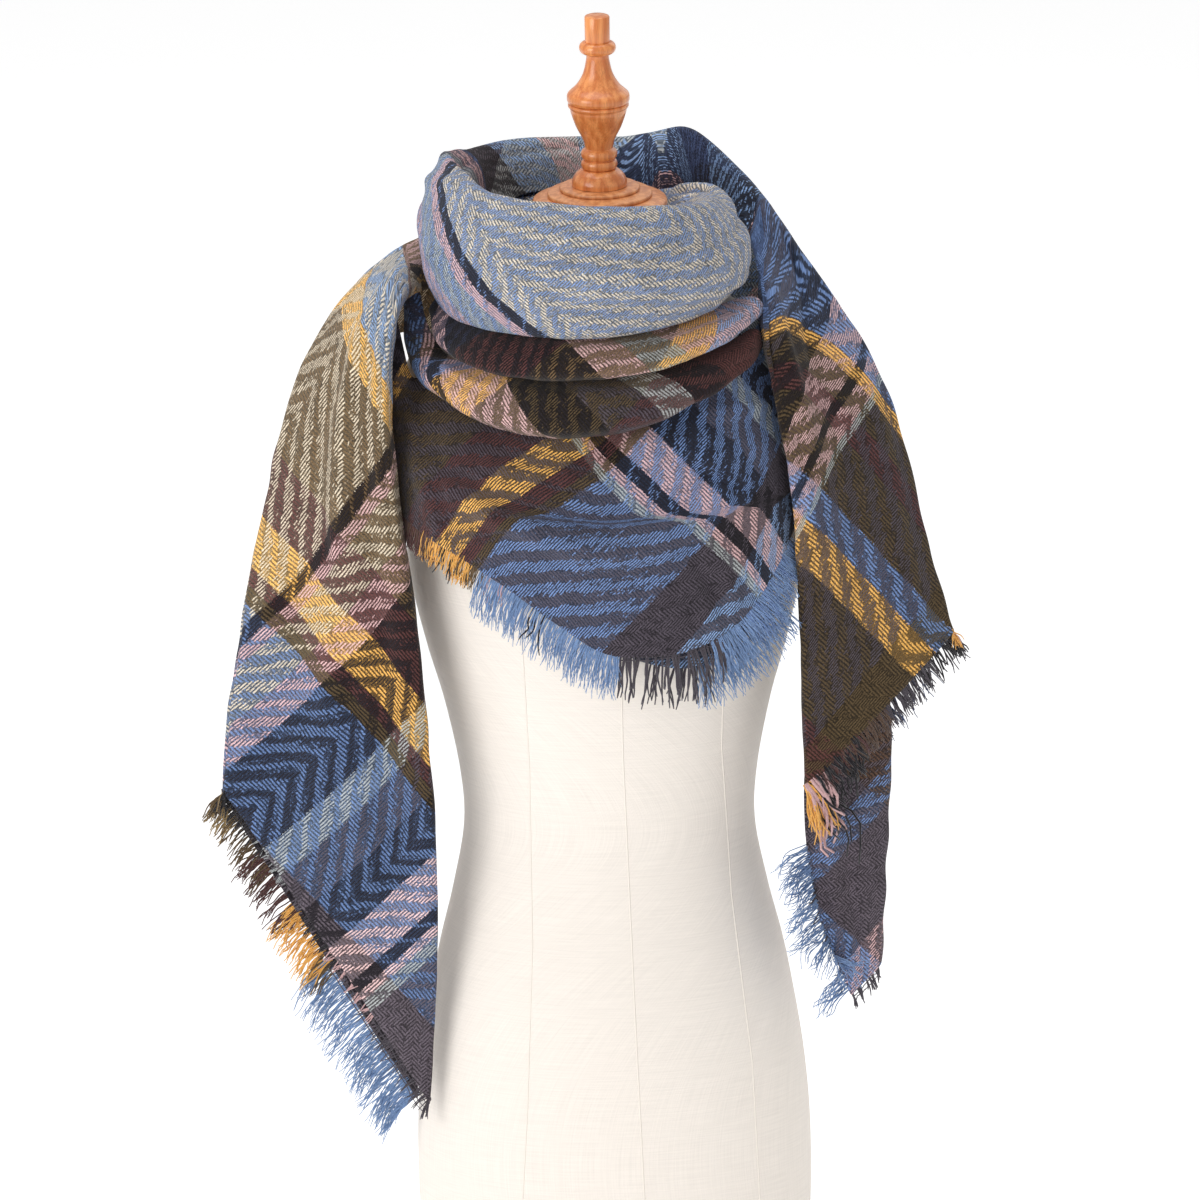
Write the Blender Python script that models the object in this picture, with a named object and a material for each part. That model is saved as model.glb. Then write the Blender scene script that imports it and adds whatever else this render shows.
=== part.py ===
"""A square blanket scarf, folded to a triangle and wound round a limbless dress form.

The cloth is one long band: left tail, nape, cowl, back wrap and right tail follow each other, and a
pointed bib with two swags hangs on the chest under the cowl. Run it in Blender 4.5, with
blender --background --python part.py or from the text editor. Tables are in millimetres, the model is
in metres, +Z is up, -Y is the front, and the origin is the middle of the form's flat base.
"""

import math

import bpy
import numpy as np

MM = 0.001
CLOTH = 3.0 * MM  # two layers of brushed cloth, 1.5 mm each
SEAM = 0.3 * MM  # gap between a hem and its fringe's backing
BAND_SEAM = 0.8 * MM  # gap between two stretches of the band, which bends sharply there
DOWN = np.array([0.0, 0.0, -1.0])

# The band. Each row is one section: the fold that the cloth hangs from (fold), the edge of the layer
# that faces the neck or the front (near), the edge of the layer behind it (far), the radius of the
# fold, how far each layer bows out between fold and edge, and how far each edge curls over.
BAND_COLUMNS = "fold near far radius near_bow far_bow near_curl far_curl".split()

LEFT_TAIL = [
    ((-290, -30, 355), (-140, -60, 119), (-150, -28, 112), 6, 6, 2, 3, 0),
    ((-286, -30, 404), (-133, -66, 212), (-152, -28, 205), 8, 9, 3, 6, 2),
    ((-279, -28, 458), (-130, -74, 300), (-156, -26, 295), 9, 12, 4, 10, 3),
    ((-270, -25, 520), (-134, -82, 392), (-162, -24, 385), 10, 14, 4, 12, 3),
    ((-259, -22, 575), (-141, -90, 482), (-170, -20, 478), 11, 16, 5, 14, 3),
    ((-247, -18, 629), (-153, -96, 571), (-176, -14, 560), 12, 16, 6, 16, 3),
    ((-232, -10, 678), (-163, -100, 647), (-186, -4, 628), 13, 14, 8, 18, 3),
    ((-211, 4, 716), (-164, -94, 706), (-190, 14, 668), 14, 12, 10, 18, 3),
    ((-184, 26, 746), (-156, -78, 746), (-184, 40, 690), 14, 10, 12, 16, 3),
    ((-150, 50, 767), (-146, -46, 760), (-166, 68, 692), 12, 6, 12, 10, 3),
]
NAPE = [
    ((-112, 70, 780), (-124, 10, 750), (-130, 94, 690), 9, 2, 10, 2, 2),
    ((-64, 76, 794), (-66, 50, 772), (-84, 100, 694), 6, 1, 6, 0, 2),
    ((-12, 72, 800), (-12, 60, 776), (-20, 92, 712), 5, 0, 3, 0, 2),
    ((36, 62, 804), (33, 52, 782), (44, 86, 730), 5, 0, 3, 0, 2),
]
# The cowl's sections stand on rays from the neck's axis, so its rows are cylindrical: the ray's angle
# from the front, positive to the right, then radius and height of fold, near edge and far edge.
COWL_AXIS = (-8, 0)
COWL_COLUMNS = (
    "angle fold_r fold_z near_r near_z far_r far_z radius near_bow far_bow near_curl far_curl".split()
)
COWL = [
    (122, 76, 812, 64, 784, 92, 750, 9, 0, 4, 0, 3),
    (98, 88, 820, 66, 782, 104, 752, 16, 2, 8, 0, 7),
    (74, 98, 824, 74, 780, 112, 752, 20, 2, 11, 0, 7),
    (48, 110, 832, 88, 778, 122, 750, 19, 2, 12, 0, 8),
    (20, 118, 840, 98, 778, 130, 746, 18, 2, 12, 0, 9),
    (-10, 120, 845, 100, 778, 132, 744, 18, 2, 12, 0, 9),
    (-40, 116, 847, 98, 780, 130, 744, 17, 2, 12, 0, 9),
    (-66, 112, 850, 90, 784, 124, 746, 16, 2, 10, 0, 8),
    (-90, 107, 849, 84, 780, 121, 757, 14, 2, 6, 0, 6),
    (-114, 103, 843, 82, 786, 119, 786, 12, 1, 3, 0, 3),
]
BACK_WRAP = [
    ((-72, 78, 840), (-66, 68, 800), (-80, 96, 784), 10, 1, 3, 0, 2),
    ((-33, 96, 838), (-30, 85, 802), (-38, 112, 776), 9, 1, 5, 0, 2),
    ((4, 97, 836), (3, 86, 798), (8, 120, 730), 9, 1, 6, 0, 2),
    ((36, 94, 838), (38, 82, 800), (48, 122, 700), 10, 2, 8, 0, 2),
    ((66, 84, 846), (74, 70, 798), (92, 116, 684), 12, 4, 10, 0, 2),
    ((94, 64, 830), (98, 46, 786), (128, 100, 668), 13, 4, 12, 0, 3),
]
RIGHT_TAIL = [
    ((120, 42, 804), (114, 20, 774), (160, 78, 654), 13, 4, 12, 0, 3),
    ((147, 22, 771), (119, -34, 755), (184, 54, 630), 13, 6, 10, 8, 3),
    ((174, 4, 736), (121, -72, 726), (186, 26, 610), 12, 9, 8, 12, 3),
    ((196, -6, 704), (127, -90, 688), (182, 8, 590), 12, 12, 6, 14, 3),
    ((215, -14, 664), (137, -95, 640), (178, -4, 560), 11, 14, 5, 14, 3),
    ((230, -20, 614), (143, -96, 580), (172, -12, 520), 10, 14, 4, 12, 3),
    ((242, -25, 556), (146, -92, 508), (166, -18, 468), 9, 13, 4, 10, 3),
    ((255, -28, 506), (148, -88, 440), (162, -22, 420), 8, 11, 3, 8, 2),
    ((262, -30, 478), (150, -84, 374), (158, -26, 370), 6, 8, 2, 4, 0),
]
RIGHT_TAIL_UNDER = [
    ((214, -44, 440), (156, -64, 436), (166, -44, 436), 5, 2, 1, 0, 0),
    ((213, -42, 380), (149, -64, 374), (164, -40, 376), 6, 3, 1, 0, 0),
    ((210, -40, 318), (151, -63, 312), (166, -38, 316), 6, 4, 1, 0, 0),
    ((207, -39, 262), (162, -60, 254), (174, -38, 258), 5, 3, 1, 0, 0),
    ((204, -38, 220), (183, -56, 200), (188, -38, 206), 4, 1, 1, 0, 0),
]

# The swags: folds of the triangle's top that sag under the cowl, as rays from the cowl's axis.
SWAG_COLUMNS = "angle top_r top_z belly_r belly_z low_r low_z tuck_r tuck_z".split()
SWAG_UPPER = [
    (-84, 103, 750, 118, 742, 122, 734, 116, 729),
    (-62, 105, 746, 124, 733, 128, 722, 117, 716),
    (-36, 106, 746, 130, 732, 135, 717, 122, 710),
    (-8, 108, 748, 133, 733, 139, 718, 125, 711),
    (22, 108, 748, 132, 735, 138, 722, 125, 716),
    (48, 105, 748, 132, 740, 137, 731, 128, 727),
    (70, 121, 748, 133, 748, 137, 741, 134, 738),
]
SWAG_LOWER = [
    (-90, 130, 747, 137, 746, 141, 736, 138, 728),
    (-79, 127, 728, 137, 727, 142, 715, 139, 706),
    (-68, 120, 710, 138, 709, 143, 699, 139, 692),
    (-55, 112, 707, 135, 704, 141, 691, 134, 683),
    (-42, 109, 711, 132, 699, 139, 682, 129, 673),
    (-14, 108, 715, 135, 700, 142, 677, 128, 667),
    (14, 110, 717, 134, 703, 141, 682, 128, 672),
    (38, 116, 719, 134, 711, 140, 695, 130, 688),
    (56, 125, 723, 138, 720, 142, 708, 137, 702),
    (65, 132, 728, 139, 728, 142, 718, 139, 713),
]
BIB_COLUMNS = "top chest hem".split()
BIB = [
    ((-157, -24, 744), (-160, -52, 664), (-158, -64, 596)),
    ((-144, -42, 691), (-146, -76, 642), (-144, -88, 588)),
    ((-125, -46, 700), (-128, -96, 628), (-126, -108, 580)),
    ((-80, -77, 672), (-85, -118, 620), (-80, -128, 554)),
    ((-42, -92, 678), (-44, -130, 604), (-38, -136, 524)),
    ((-6, -94, 678), (-6, -133, 596), (-4, -139, 502)),
    ((28, -93, 686), (26, -132, 596), (26, -138, 497)),
    ((62, -88, 696), (60, -126, 604), (62, -132, 500)),
    ((90, -74, 712), (94, -112, 616), (98, -120, 516)),
    ((110, -50, 730), (124, -86, 628), (126, -102, 550)),
    ((134, -20, 734), (148, -44, 656), (153, -58, 600)),
]
BIB_UNDER = [
    ((-30, -116, 580), (-32, -121, 550), (-30, -126, 520)),
    ((0, -117, 580), (0, -122, 542), (2, -128, 502)),
    ((32, -116, 580), (32, -121, 538), (34, -126, 488)),
    ((62, -110, 580), (64, -115, 538), (70, -120, 484)),
    ((90, -98, 590), (96, -103, 550), (102, -109, 502)),
    ((114, -78, 604), (120, -84, 572), (126, -92, 534)),
]

# Soft folds. Columns: start and end of the fold on its sheet, each as shares along and across it,
# then its half width and its height, which is negative for a trough.
LEFT_TAIL_FOLDS = [
    ((0.05, 0.16), (0.80, 0.20), 20, 5),
    ((0.12, 0.30), (0.95, 0.26), 18, -5),
    ((0.00, 0.40), (0.70, 0.36), 20, 4),
    ((0.10, 0.72), (0.85, 0.78), 22, 5),
    ((0.20, 0.90), (0.90, 0.88), 16, -3),
]
RIGHT_TAIL_FOLDS = [
    ((0.10, 0.08), (0.34, 0.10), 9, 9),
    ((0.18, 0.16), (0.55, 0.17), 12, -6),
    ((0.25, 0.30), (0.98, 0.22), 20, 4),
    ((0.35, 0.42), (0.95, 0.38), 18, -4),
    ((0.15, 0.72), (0.80, 0.78), 24, 5),
]
COWL_FOLDS = [
    ((0.10, 0.62), (0.62, 0.74), 16, -3),
    ((0.30, 0.86), (0.82, 0.70), 18, 3),
    ((0.02, 0.40), (0.24, 0.56), 9, -5),
    ((0.70, 0.42), (0.90, 0.60), 9, -4),
]
BACK_WRAP_FOLDS = [
    ((0.10, 0.55), (1.00, 0.62), 12, 4),
    ((0.05, 0.72), (1.00, 0.76), 14, -5),
    ((0.20, 0.92), (1.00, 0.88), 12, 4),
]
BIB_FOLDS = [
    ((0.18, 0.52), (0.72, 0.40), 14, -5),
    ((0.20, 0.64), (0.66, 0.54), 18, 5),
    ((0.66, 0.60), (0.74, 1.00), 8, -4),
    ((0.52, 0.10), (0.92, 0.52), 16, 5),
    ((0.08, 0.20), (0.16, 0.96), 16, 4),
]

BACKING = 4.0 * MM  # depth of the strip that a hem's locks grow from
LOCK_STEPS = 2

# The form: half width, front and back depth of its ellipses, from the flat base to the neck.
FORM_COLUMNS = "height half_width front back".split()
FORM = [
    (0, 149, 98, 108),
    (40, 150.5, 99, 112),
    (90, 150, 99, 115),
    (140, 146, 98, 115),
    (190, 138.5, 95, 110),
    (230, 131, 90, 101),
    (275, 120, 84, 88),
    (325, 111, 80, 77),
    (370, 113.5, 82, 74),
    (425, 124.5, 90, 78),
    (470, 137, 99, 84),
    (520, 148, 108, 89),
    (570, 152, 109, 92),
    (620, 154, 100, 95),
    (660, 154, 86, 94),
    (690, 148, 74, 88),
    (712, 132, 66, 80),
    (732, 104, 59, 71),
    (750, 74, 53, 60),
    (772, 55, 49, 51),
    (809.7, 50, 49, 50),
]
FORM_RING = 32
FORM_STEPS = 1

# Turned wood: height above the piece's foot and radius. A bead is a half round between two heights.
CAP_FOOT = 810 * MM
CAP_PROFILE = [
    ("line", (0, 47.5), (0.8, 49.5)),
    ("bead", (0.8, 7.2), 49.5, 1.6),
    ("line", (8.2, 47.0), (9.4, 42.5)),
    ("bead", (9.4, 12.6), 38.5, 1.2),
    ("line", (13.2, 35.0), (14.2, 31.5)),
    ("bead", (14.2, 17.0), 29.5, 1.0),
    ("line", (17.6, 26.0), (17.6, 25.0)),
]
FINIAL_FOOT = 828 * MM
FINIAL_PROFILE = [
    ("curve", (0, 21.0), (4, 20.6), (9, 17.8), (12.5, 13.6)),
    ("bead", (12.8, 20.0), 11.4, 2.4),
    ("bead", (20.6, 28.0), 11.4, 2.4),
    ("curve", (29.0, 10.4), (36, 12.2), (46, 17.2), (56, 20.8), (60, 21.4)),
    ("bead", (60.6, 64.4), 21.6, 1.5),
    ("curve", (65.2, 23.2), (68, 23.8), (72, 22.8), (78, 16.6), (87, 11.4), (98, 8.8), (102, 8.6)),
    ("bead", (102.4, 112.0), 9.4, 4.6),
    ("line", (112.4, 9.5), (131.0, 9.5)),
    ("line", (131.8, 9.0), (132.2, 8.0)),
]
TURNED_RING = 20

FABRIC_COLOURS = {
    "blue": (0.19, 0.26, 0.44),
    "olive": (0.16, 0.12, 0.08),
    "slate": (0.12, 0.13, 0.18),
    "linen": (0.80, 0.76, 0.71),
    "wood": (0.62, 0.33, 0.15),
}


def clear_scene():
    for thing in list(bpy.data.objects):
        bpy.data.objects.remove(thing, do_unlink=True)


def material(name, colour, roughness):
    made = bpy.data.materials.get(name) or bpy.data.materials.new(name)
    made.use_nodes = True
    shader = made.node_tree.nodes["Principled BSDF"]
    shader.inputs["Base Color"].default_value = (*colour, 1.0)
    shader.inputs["Roughness"].default_value = roughness
    shader.inputs["Metallic"].default_value = 0.0
    return made


def unit(vector):
    return vector / max(np.linalg.norm(vector), 1e-9)


def rows_of(columns, table):
    """Table rows as dictionaries, in metres. A share or an angle is turned back where it is read."""
    return [{c: np.array(v, float) * MM for c, v in zip(columns, row)} for row in table]


def spline(points, places):
    """The Catmull-Rom curve through points, read at places counted in points."""
    points = np.asarray(points, float)
    last = len(points) - 1
    padded = np.concatenate([[2 * points[0] - points[1]], points, [2 * points[-1] - points[-2]]])
    places = np.clip(np.asarray(places, float), 0, last)
    start = np.minimum(places.astype(int), last - 1)
    t = (places - start).reshape(-1, *[1] * (points.ndim - 1))
    a, b, c, d = (padded[start + k] for k in range(4))
    return 0.5 * (
        2 * b + (c - a) * t + (2 * a - 5 * b + 4 * c - d) * t**2 + (3 * b - a - 3 * c + d) * t**3
    )


def even_places(points, count, by_length):
    """Places along a curve: spread by length for the by_length share, and by control point for the rest."""
    dense = np.linspace(0, len(points) - 1, 24 * len(points))
    curve = spline(points, dense).reshape(len(dense), -1)
    length = np.concatenate([[0], np.cumsum(np.linalg.norm(np.diff(curve, axis=0), axis=1))])
    mixed = by_length * length / length[-1] + (1 - by_length) * dense / dense[-1]
    return np.interp(np.linspace(0, 1, count), mixed, dense)


def band_section(row):
    """The curve of one section of the band, from the near edge over the fold to the far edge."""
    fold, near, far = row["fold"], row["near"], row["far"]
    hang = unit((near + far) / 2 - fold)
    across = near - far
    across = unit(across - hang * (across @ hang))
    radius = row["radius"]
    near_shoulder = fold + hang * radius + across * radius
    far_shoulder = fold + hang * radius - across * radius
    points = [
        near - across * row["near_curl"] * 1.2 + hang * row["near_curl"] * 0.1,
        near + (near_shoulder - near) * 0.06,
        (near + near_shoulder) / 2 + across * row["near_bow"],
        near_shoulder,
        fold,
        far_shoulder,
        (far + far_shoulder) / 2 - across * row["far_bow"],
        far + (far_shoulder - far) * 0.06,
        far + across * row["far_curl"] * 1.2,
    ]
    return points if row["near_curl"] > 0 else [near, *points[1:]]


def ray(angle, radius, height):
    """The point at a radius and height on a ray from the cowl's axis."""
    turn = math.radians(angle)
    return np.array(
        [
            COWL_AXIS[0] * MM + radius * math.sin(turn),
            COWL_AXIS[1] * MM - radius * math.cos(turn),
            height,
        ]
    )


def cowl_section(row):
    angle = float(row["angle"]) / MM
    points = {
        end: ray(angle, row[end + "_r"], row[end + "_z"]) for end in ("fold", "near", "far")
    }
    return band_section({**row, **points})


def swag_section(row):
    angle = float(row["angle"]) / MM
    return [ray(angle, row[end + "_r"], row[end + "_z"]) for end in ("top", "belly", "low", "tuck")]


def bib_section(row):
    return [row[end] for end in BIB_COLUMNS]


def grid_of(sections, along, across, by_length=0.6):
    """A sheet's points, along x across, through its sections."""
    lines = np.array([spline(s, even_places(s, across, by_length)) for s in sections])
    return spline(lines, even_places(lines[:, across // 2], along, 1.0))


def unit_rows(vectors):
    return vectors / np.maximum(np.linalg.norm(vectors, axis=-1, keepdims=True), 1e-9)


def normals_of(grid):
    return unit_rows(np.cross(np.gradient(grid, axis=1), np.gradient(grid, axis=0)))


def folded(grid, folds):
    """The sheet with soft folds raised along its normals. Each fades out at its ends and its sides."""
    along, across = grid.shape[:2]
    share = np.stack(
        np.meshgrid(np.linspace(0, 1, along), np.linspace(0, 1, across), indexing="ij"), axis=2
    )
    size = np.array(
        [
            np.linalg.norm(np.diff(grid, axis=0), axis=2).sum(0).mean(),
            np.linalg.norm(np.diff(grid, axis=1), axis=2).sum(1).mean(),
        ]
    )
    lift = np.zeros((along, across))
    for start, end, half_width, height in folds:
        start, end = np.array(start) * size, np.array(end) * size
        run = end - start
        offset = share * size - start
        t = np.clip(offset @ run / (run @ run), 0, 1)
        away = np.linalg.norm(offset - t[..., None] * run, axis=2) / (half_width * MM)
        fade = np.sin(np.pi * (0.12 + 0.76 * t)) ** 0.8
        lift += height * MM * fade * np.where(away < 1, np.cos(np.pi * away / 2) ** 2, 0)
    return grid + normals_of(grid) * lift[..., None]


def mesh_object(name, points, faces, look):
    mesh = bpy.data.meshes.new(name)
    mesh.from_pydata([tuple(p) for p in points], [], [tuple(int(i) for i in f) for f in faces])
    mesh.materials.append(look)
    mesh.update()
    made = bpy.data.objects.new(name, mesh)
    bpy.context.scene.collection.objects.link(made)
    mesh.shade_smooth()
    return made


def quads(index):
    """The faces of a grid of point numbers."""
    return np.stack(
        [index[:-1, :-1], index[:-1, 1:], index[1:, 1:], index[1:, :-1]], axis=2
    ).reshape(-1, 4)


def wall(name, grid, normals, look):
    """A sheet of cloth: the grid made a closed wall, half the cloth's thickness on either side."""
    along, across = grid.shape[:2]
    outer = np.arange(along * across).reshape(along, across)
    inner = outer + along * across
    rims = [
        np.stack([inner[0], outer[0]]),
        np.stack([outer[-1], inner[-1]]),
        np.stack([outer[:, 0], inner[:, 0]]),
        np.stack([inner[:, -1], outer[:, -1]]),
    ]
    faces = np.concatenate([quads(outer), quads(inner)[:, ::-1], *[quads(r) for r in rims]])
    half = 0.5 * CLOTH * normals
    points = np.concatenate([(grid + half).reshape(-1, 3), (grid - half).reshape(-1, 3)])
    return mesh_object(name, points, faces, look)


def wobble(number):
    """A fixed, uneven value from -1 to 1 for each number."""
    return math.sin(12.9898 * number + 78.233 * math.sin(4.137 * number))


def fringe(name, edge, out, face, locks, length, sag, look):
    """Locks on a narrow backing that runs along a hem, parted from the cloth's edge.

    edge, out and face are functions of a share of the hem: the point, the way off the cloth and the
    way the cloth faces. Each lock is a tapering four-sided strand drawn out of the backing's foot.
    """
    cells = 2 * locks + 1
    points, faces = [], []
    half = 0.5 * CLOTH
    for i in range(cells + 1):
        share = 0.01 + 0.98 * i / cells
        root, away, front = edge(share), out(share), face(share)
        top = root + away * SEAM
        foot = top + away * BACKING
        points += [top + front * half, top - front * half, foot - front * half, foot + front * half]
    for i in range(cells):
        a, b = 4 * i, 4 * i + 4
        faces += [(a, b, b + 1, a + 1), (a + 1, b + 1, b + 2, a + 2), (a + 3, b + 3, b, a)]
        if i % 2 == 0:
            faces.append((a + 2, b + 2, b + 3, a + 3))
            continue
        share = (i + 0.5) / cells
        ring = [a + 2, b + 2, b + 3, a + 3]
        root = np.array([points[k] for k in ring])
        centre, way = root.mean(0), out(share)
        spread = root - centre
        side = unit(points[b + 2] - points[a + 2])
        step = length * (1 + 0.16 * wobble(i)) / LOCK_STEPS
        for k in range(1, LOCK_STEPS + 1):
            lean = sag * k / LOCK_STEPS
            way = unit(out(share) * (1 - lean) + DOWN * lean + side * 0.05 * wobble(3 * i + k))
            centre = centre + way * step
            size = 0.92 - 0.42 * k / LOCK_STEPS
            first = len(points)
            points += list(centre + spread * size)
            faces += [
                (ring[j], ring[(j + 1) % 4], first + (j + 1) % 4, first + j) for j in range(4)
            ]
            ring = [first + j for j in range(4)]
        faces.append(tuple(ring))
    last = 4 * cells
    faces += [(0, 1, 2, 3), (last + 3, last + 2, last + 1, last)]
    return mesh_object(name, points, faces, look)


def way_off(line, inner_line, normals):
    """The way off a sheet at its edge, square to the edge and to the cloth."""
    ways = unit_rows(np.cross(unit_rows(np.gradient(line, axis=0)), normals))
    return ways * np.sign(((line - inner_line) * ways).sum())


def hem_of(line, inner_line, normals):
    """Functions for fringe: a hem's point, the way off the cloth and the way it faces."""
    ways = way_off(line, inner_line, normals)
    runs = np.gradient(line, axis=0)
    fronts = normals * np.sign((np.cross(runs, normals) * ways).sum())
    last = len(line) - 1

    def reader(values, as_unit):
        def read(share):
            found = spline(values, [share * last])[0]
            return unit(found) if as_unit else found

        return read

    return reader(line, False), reader(ways, True), reader(fronts, True)


def loft_closed(name, rings, look):
    """A closed solid through rings of equal length, with flat ends."""
    count, side = len(rings), len(rings[0])
    faces = [
        (i * side + j, i * side + (j + 1) % side, (i + 1) * side + (j + 1) % side, (i + 1) * side + j)
        for i in range(count - 1)
        for j in range(side)
    ]
    faces.append(tuple(reversed(range(side))))
    faces.append(tuple(range((count - 1) * side, count * side)))
    made = mesh_object(name, np.concatenate(rings), faces, look)
    made.data.set_sharp_from_angle(angle=math.radians(40))
    return made


def ellipse(height, half_width, front, back, sides):
    turns = np.linspace(0, 2 * np.pi, sides, endpoint=False)
    depth = np.where(np.sin(turns) < 0, front, back)
    return np.stack(
        [half_width * np.cos(turns), depth * np.sin(turns), np.full(sides, height)], axis=1
    )


def build_form(look):
    rows = np.array(FORM) * MM
    places = np.linspace(0, len(rows) - 1, FORM_STEPS * (len(rows) - 1) + 1)
    rings = [ellipse(*row, FORM_RING) for row in spline(rows, places)]
    return loft_closed("form_body", rings, look)


def profile_points(profile):
    """Heights and radii of a turned profile, from lines, beads and curves."""
    points = []
    for kind, *values in profile:
        if kind == "bead":
            (low, high), radius, bulge = values
            for turn in np.linspace(-math.pi / 2, math.pi / 2, 4):
                middle = (low + high) / 2 + (high - low) / 2 * math.sin(turn)
                points.append((middle, radius + bulge * math.cos(turn)))
        elif kind == "curve":
            places = np.linspace(0, len(values) - 1, 3 * len(values) // 2)
            points += [tuple(p) for p in spline(values, places)]
        else:
            points += values
    return points


def turned(name, foot, profile, look):
    turns = np.linspace(0, 2 * np.pi, TURNED_RING, endpoint=False)
    rings = [
        np.stack(
            [
                radius * MM * np.cos(turns),
                radius * MM * np.sin(turns),
                np.full(TURNED_RING, foot + height * MM),
            ],
            axis=1,
        )
        for height, radius in profile_points(profile)
    ]
    return loft_closed(name, rings, look)


# The band's stretches, in order from the left tail's tip to the right tail's: name, the section
# where each starts and ends, points along it, its colour and its folds.
STRETCHES = [
    ("left_tail", 0, 9, 25, "olive", LEFT_TAIL_FOLDS),
    ("nape_wrap", 9, 14, 10, "olive", []),
    ("cowl", 14, 23, 28, "blue", COWL_FOLDS),
    ("back_wrap", 23, 30, 16, "blue", BACK_WRAP_FOLDS),
    ("right_tail", 30, 38, 23, "slate", RIGHT_TAIL_FOLDS),
]
BAND_ACROSS = 17


def band_sections():
    rows = rows_of(BAND_COLUMNS, LEFT_TAIL + NAPE)
    cowl = rows_of(COWL_COLUMNS, COWL)
    rest = rows_of(BAND_COLUMNS, BACK_WRAP + RIGHT_TAIL)
    return (
        [band_section(r) for r in rows]
        + [cowl_section(r) for r in cowl]
        + [band_section(r) for r in rest]
    )


def build_band(looks):
    """The band's walls, cut into its stretches with a seam's gap between them."""
    sections = band_sections()
    lines = np.array([spline(s, even_places(s, BAND_ACROSS, 0.6)) for s in sections])
    grids = [
        folded(spline(lines, np.linspace(first, last, along)), folds)
        for _, first, last, along, _, folds in STRETCHES
    ]
    whole = np.concatenate([g if k == 0 else g[1:] for k, g in enumerate(grids)])
    normals = normals_of(whole)
    sheets = {}
    start = 0
    for name, _, _, along, colour, _ in STRETCHES:
        rows = slice(start, start + along)
        start += along - 1
        grid, facing = whole[rows].copy(), normals[rows]
        if start < len(whole) - 1:
            grid[-1] -= way_off(grid[-1], grid[-2], facing[-1]) * BAND_SEAM
        wall(name, grid, facing, looks[colour])
        sheets[name] = (grid, facing)
    return sheets


def build_chest(looks):
    """The swags, the bib's two layers and the right tail's under layer."""
    grids = {}
    for name, table in (("swag_upper", SWAG_UPPER), ("swag_lower", SWAG_LOWER)):
        sections = [swag_section(r) for r in rows_of(SWAG_COLUMNS, table)]
        grids[name] = grid_of(sections, 18, 8)
    for name, table, along, folds in (
        ("bib", BIB, 22, BIB_FOLDS),
        ("bib_under", BIB_UNDER, 10, []),
    ):
        sections = [bib_section(r) for r in rows_of(BIB_COLUMNS, table)]
        grids[name] = folded(grid_of(sections, along, 11), folds)
    under = [band_section(r) for r in rows_of(BAND_COLUMNS, RIGHT_TAIL_UNDER)]
    grids["right_tail_under"] = grid_of(under, 10, 13)
    sheets = {name: (grid, normals_of(grid)) for name, grid in grids.items()}
    for name, (grid, facing) in sheets.items():
        wall(name, grid, facing, looks["slate"])
    return sheets


# Each hem: its sheet, which of the sheet's edges it is (first or last row of points, near or far
# column), the points it runs between, then the number of locks, their length and their sag.
HEMS = [
    ("left_tail_fringe", "left_tail", "first", 1, 8, 24, 32, 0.5),
    ("left_tail_back_fringe", "left_tail", "first", 10, 17, 15, 40, 0.5),
    ("right_tail_fringe", "right_tail", "last", 1, 8, 20, 32, 0.4),
    ("right_tail_back_fringe", "right_tail", "last", 10, 17, 12, 34, 0.4),
    ("right_under_fringe", "right_tail_under", "near", 4, 10, 12, 28, 0.3),
    ("bib_left_fringe", "bib", "far", 2, 12, 20, 17, 0.3),
    ("bib_right_fringe", "bib", "far", 11, 19, 14, 26, 0.2),
    ("bib_under_fringe", "bib_under", "far", 3, 10, 8, 28, 0.2),
]


def build_fringes(sheets, looks):
    for name, sheet, side, first, last, locks, length, sag in HEMS:
        grid, facing = sheets[sheet]
        if side in ("near", "far"):
            grid, facing = grid.transpose(1, 0, 2), facing.transpose(1, 0, 2)
        edge, inner = (0, 1) if side in ("first", "near") else (-1, -2)
        points = slice(first, last)
        hem = hem_of(grid[edge, points], grid[inner, points], facing[edge, points])
        fringe(name, *hem, locks, length * MM, sag, looks["slate"])


def main():
    clear_scene()
    looks = {name: material(name, colour, 0.9) for name, colour in FABRIC_COLOURS.items()}
    looks["wood"].node_tree.nodes["Principled BSDF"].inputs["Roughness"].default_value = 0.35
    build_form(looks["linen"])
    turned("form_neck_cap", CAP_FOOT, CAP_PROFILE, looks["wood"])
    turned("form_finial", FINIAL_FOOT, FINIAL_PROFILE, looks["wood"])
    sheets = build_band(looks)
    sheets.update(build_chest(looks))
    build_fringes(sheets, looks)


main()
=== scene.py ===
"""Looks of the blanket scarf and its dress form: plaid cloth, yarn fringe, linen and wood.

Tables are in millimetres and the scene is in metres. The cloth is one band (left tail, nape, cowl, back
wrap, right tail) with a corner under the right tail, two swags and a bib of two layers on the chest.
"""

import math

import bpy
import numpy as np
from mathutils import Matrix, Vector


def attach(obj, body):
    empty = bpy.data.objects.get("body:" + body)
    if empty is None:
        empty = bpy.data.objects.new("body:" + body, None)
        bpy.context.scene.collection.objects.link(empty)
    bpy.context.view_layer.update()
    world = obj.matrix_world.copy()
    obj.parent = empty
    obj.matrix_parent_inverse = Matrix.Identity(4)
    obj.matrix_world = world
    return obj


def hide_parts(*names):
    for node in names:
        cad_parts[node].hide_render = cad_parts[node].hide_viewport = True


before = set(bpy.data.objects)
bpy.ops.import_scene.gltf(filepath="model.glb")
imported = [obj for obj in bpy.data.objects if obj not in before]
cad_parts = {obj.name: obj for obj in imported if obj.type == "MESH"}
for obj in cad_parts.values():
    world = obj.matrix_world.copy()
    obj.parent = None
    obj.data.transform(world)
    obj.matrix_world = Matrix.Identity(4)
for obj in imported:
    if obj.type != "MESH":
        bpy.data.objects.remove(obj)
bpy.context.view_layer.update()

MM = 0.001
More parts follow.
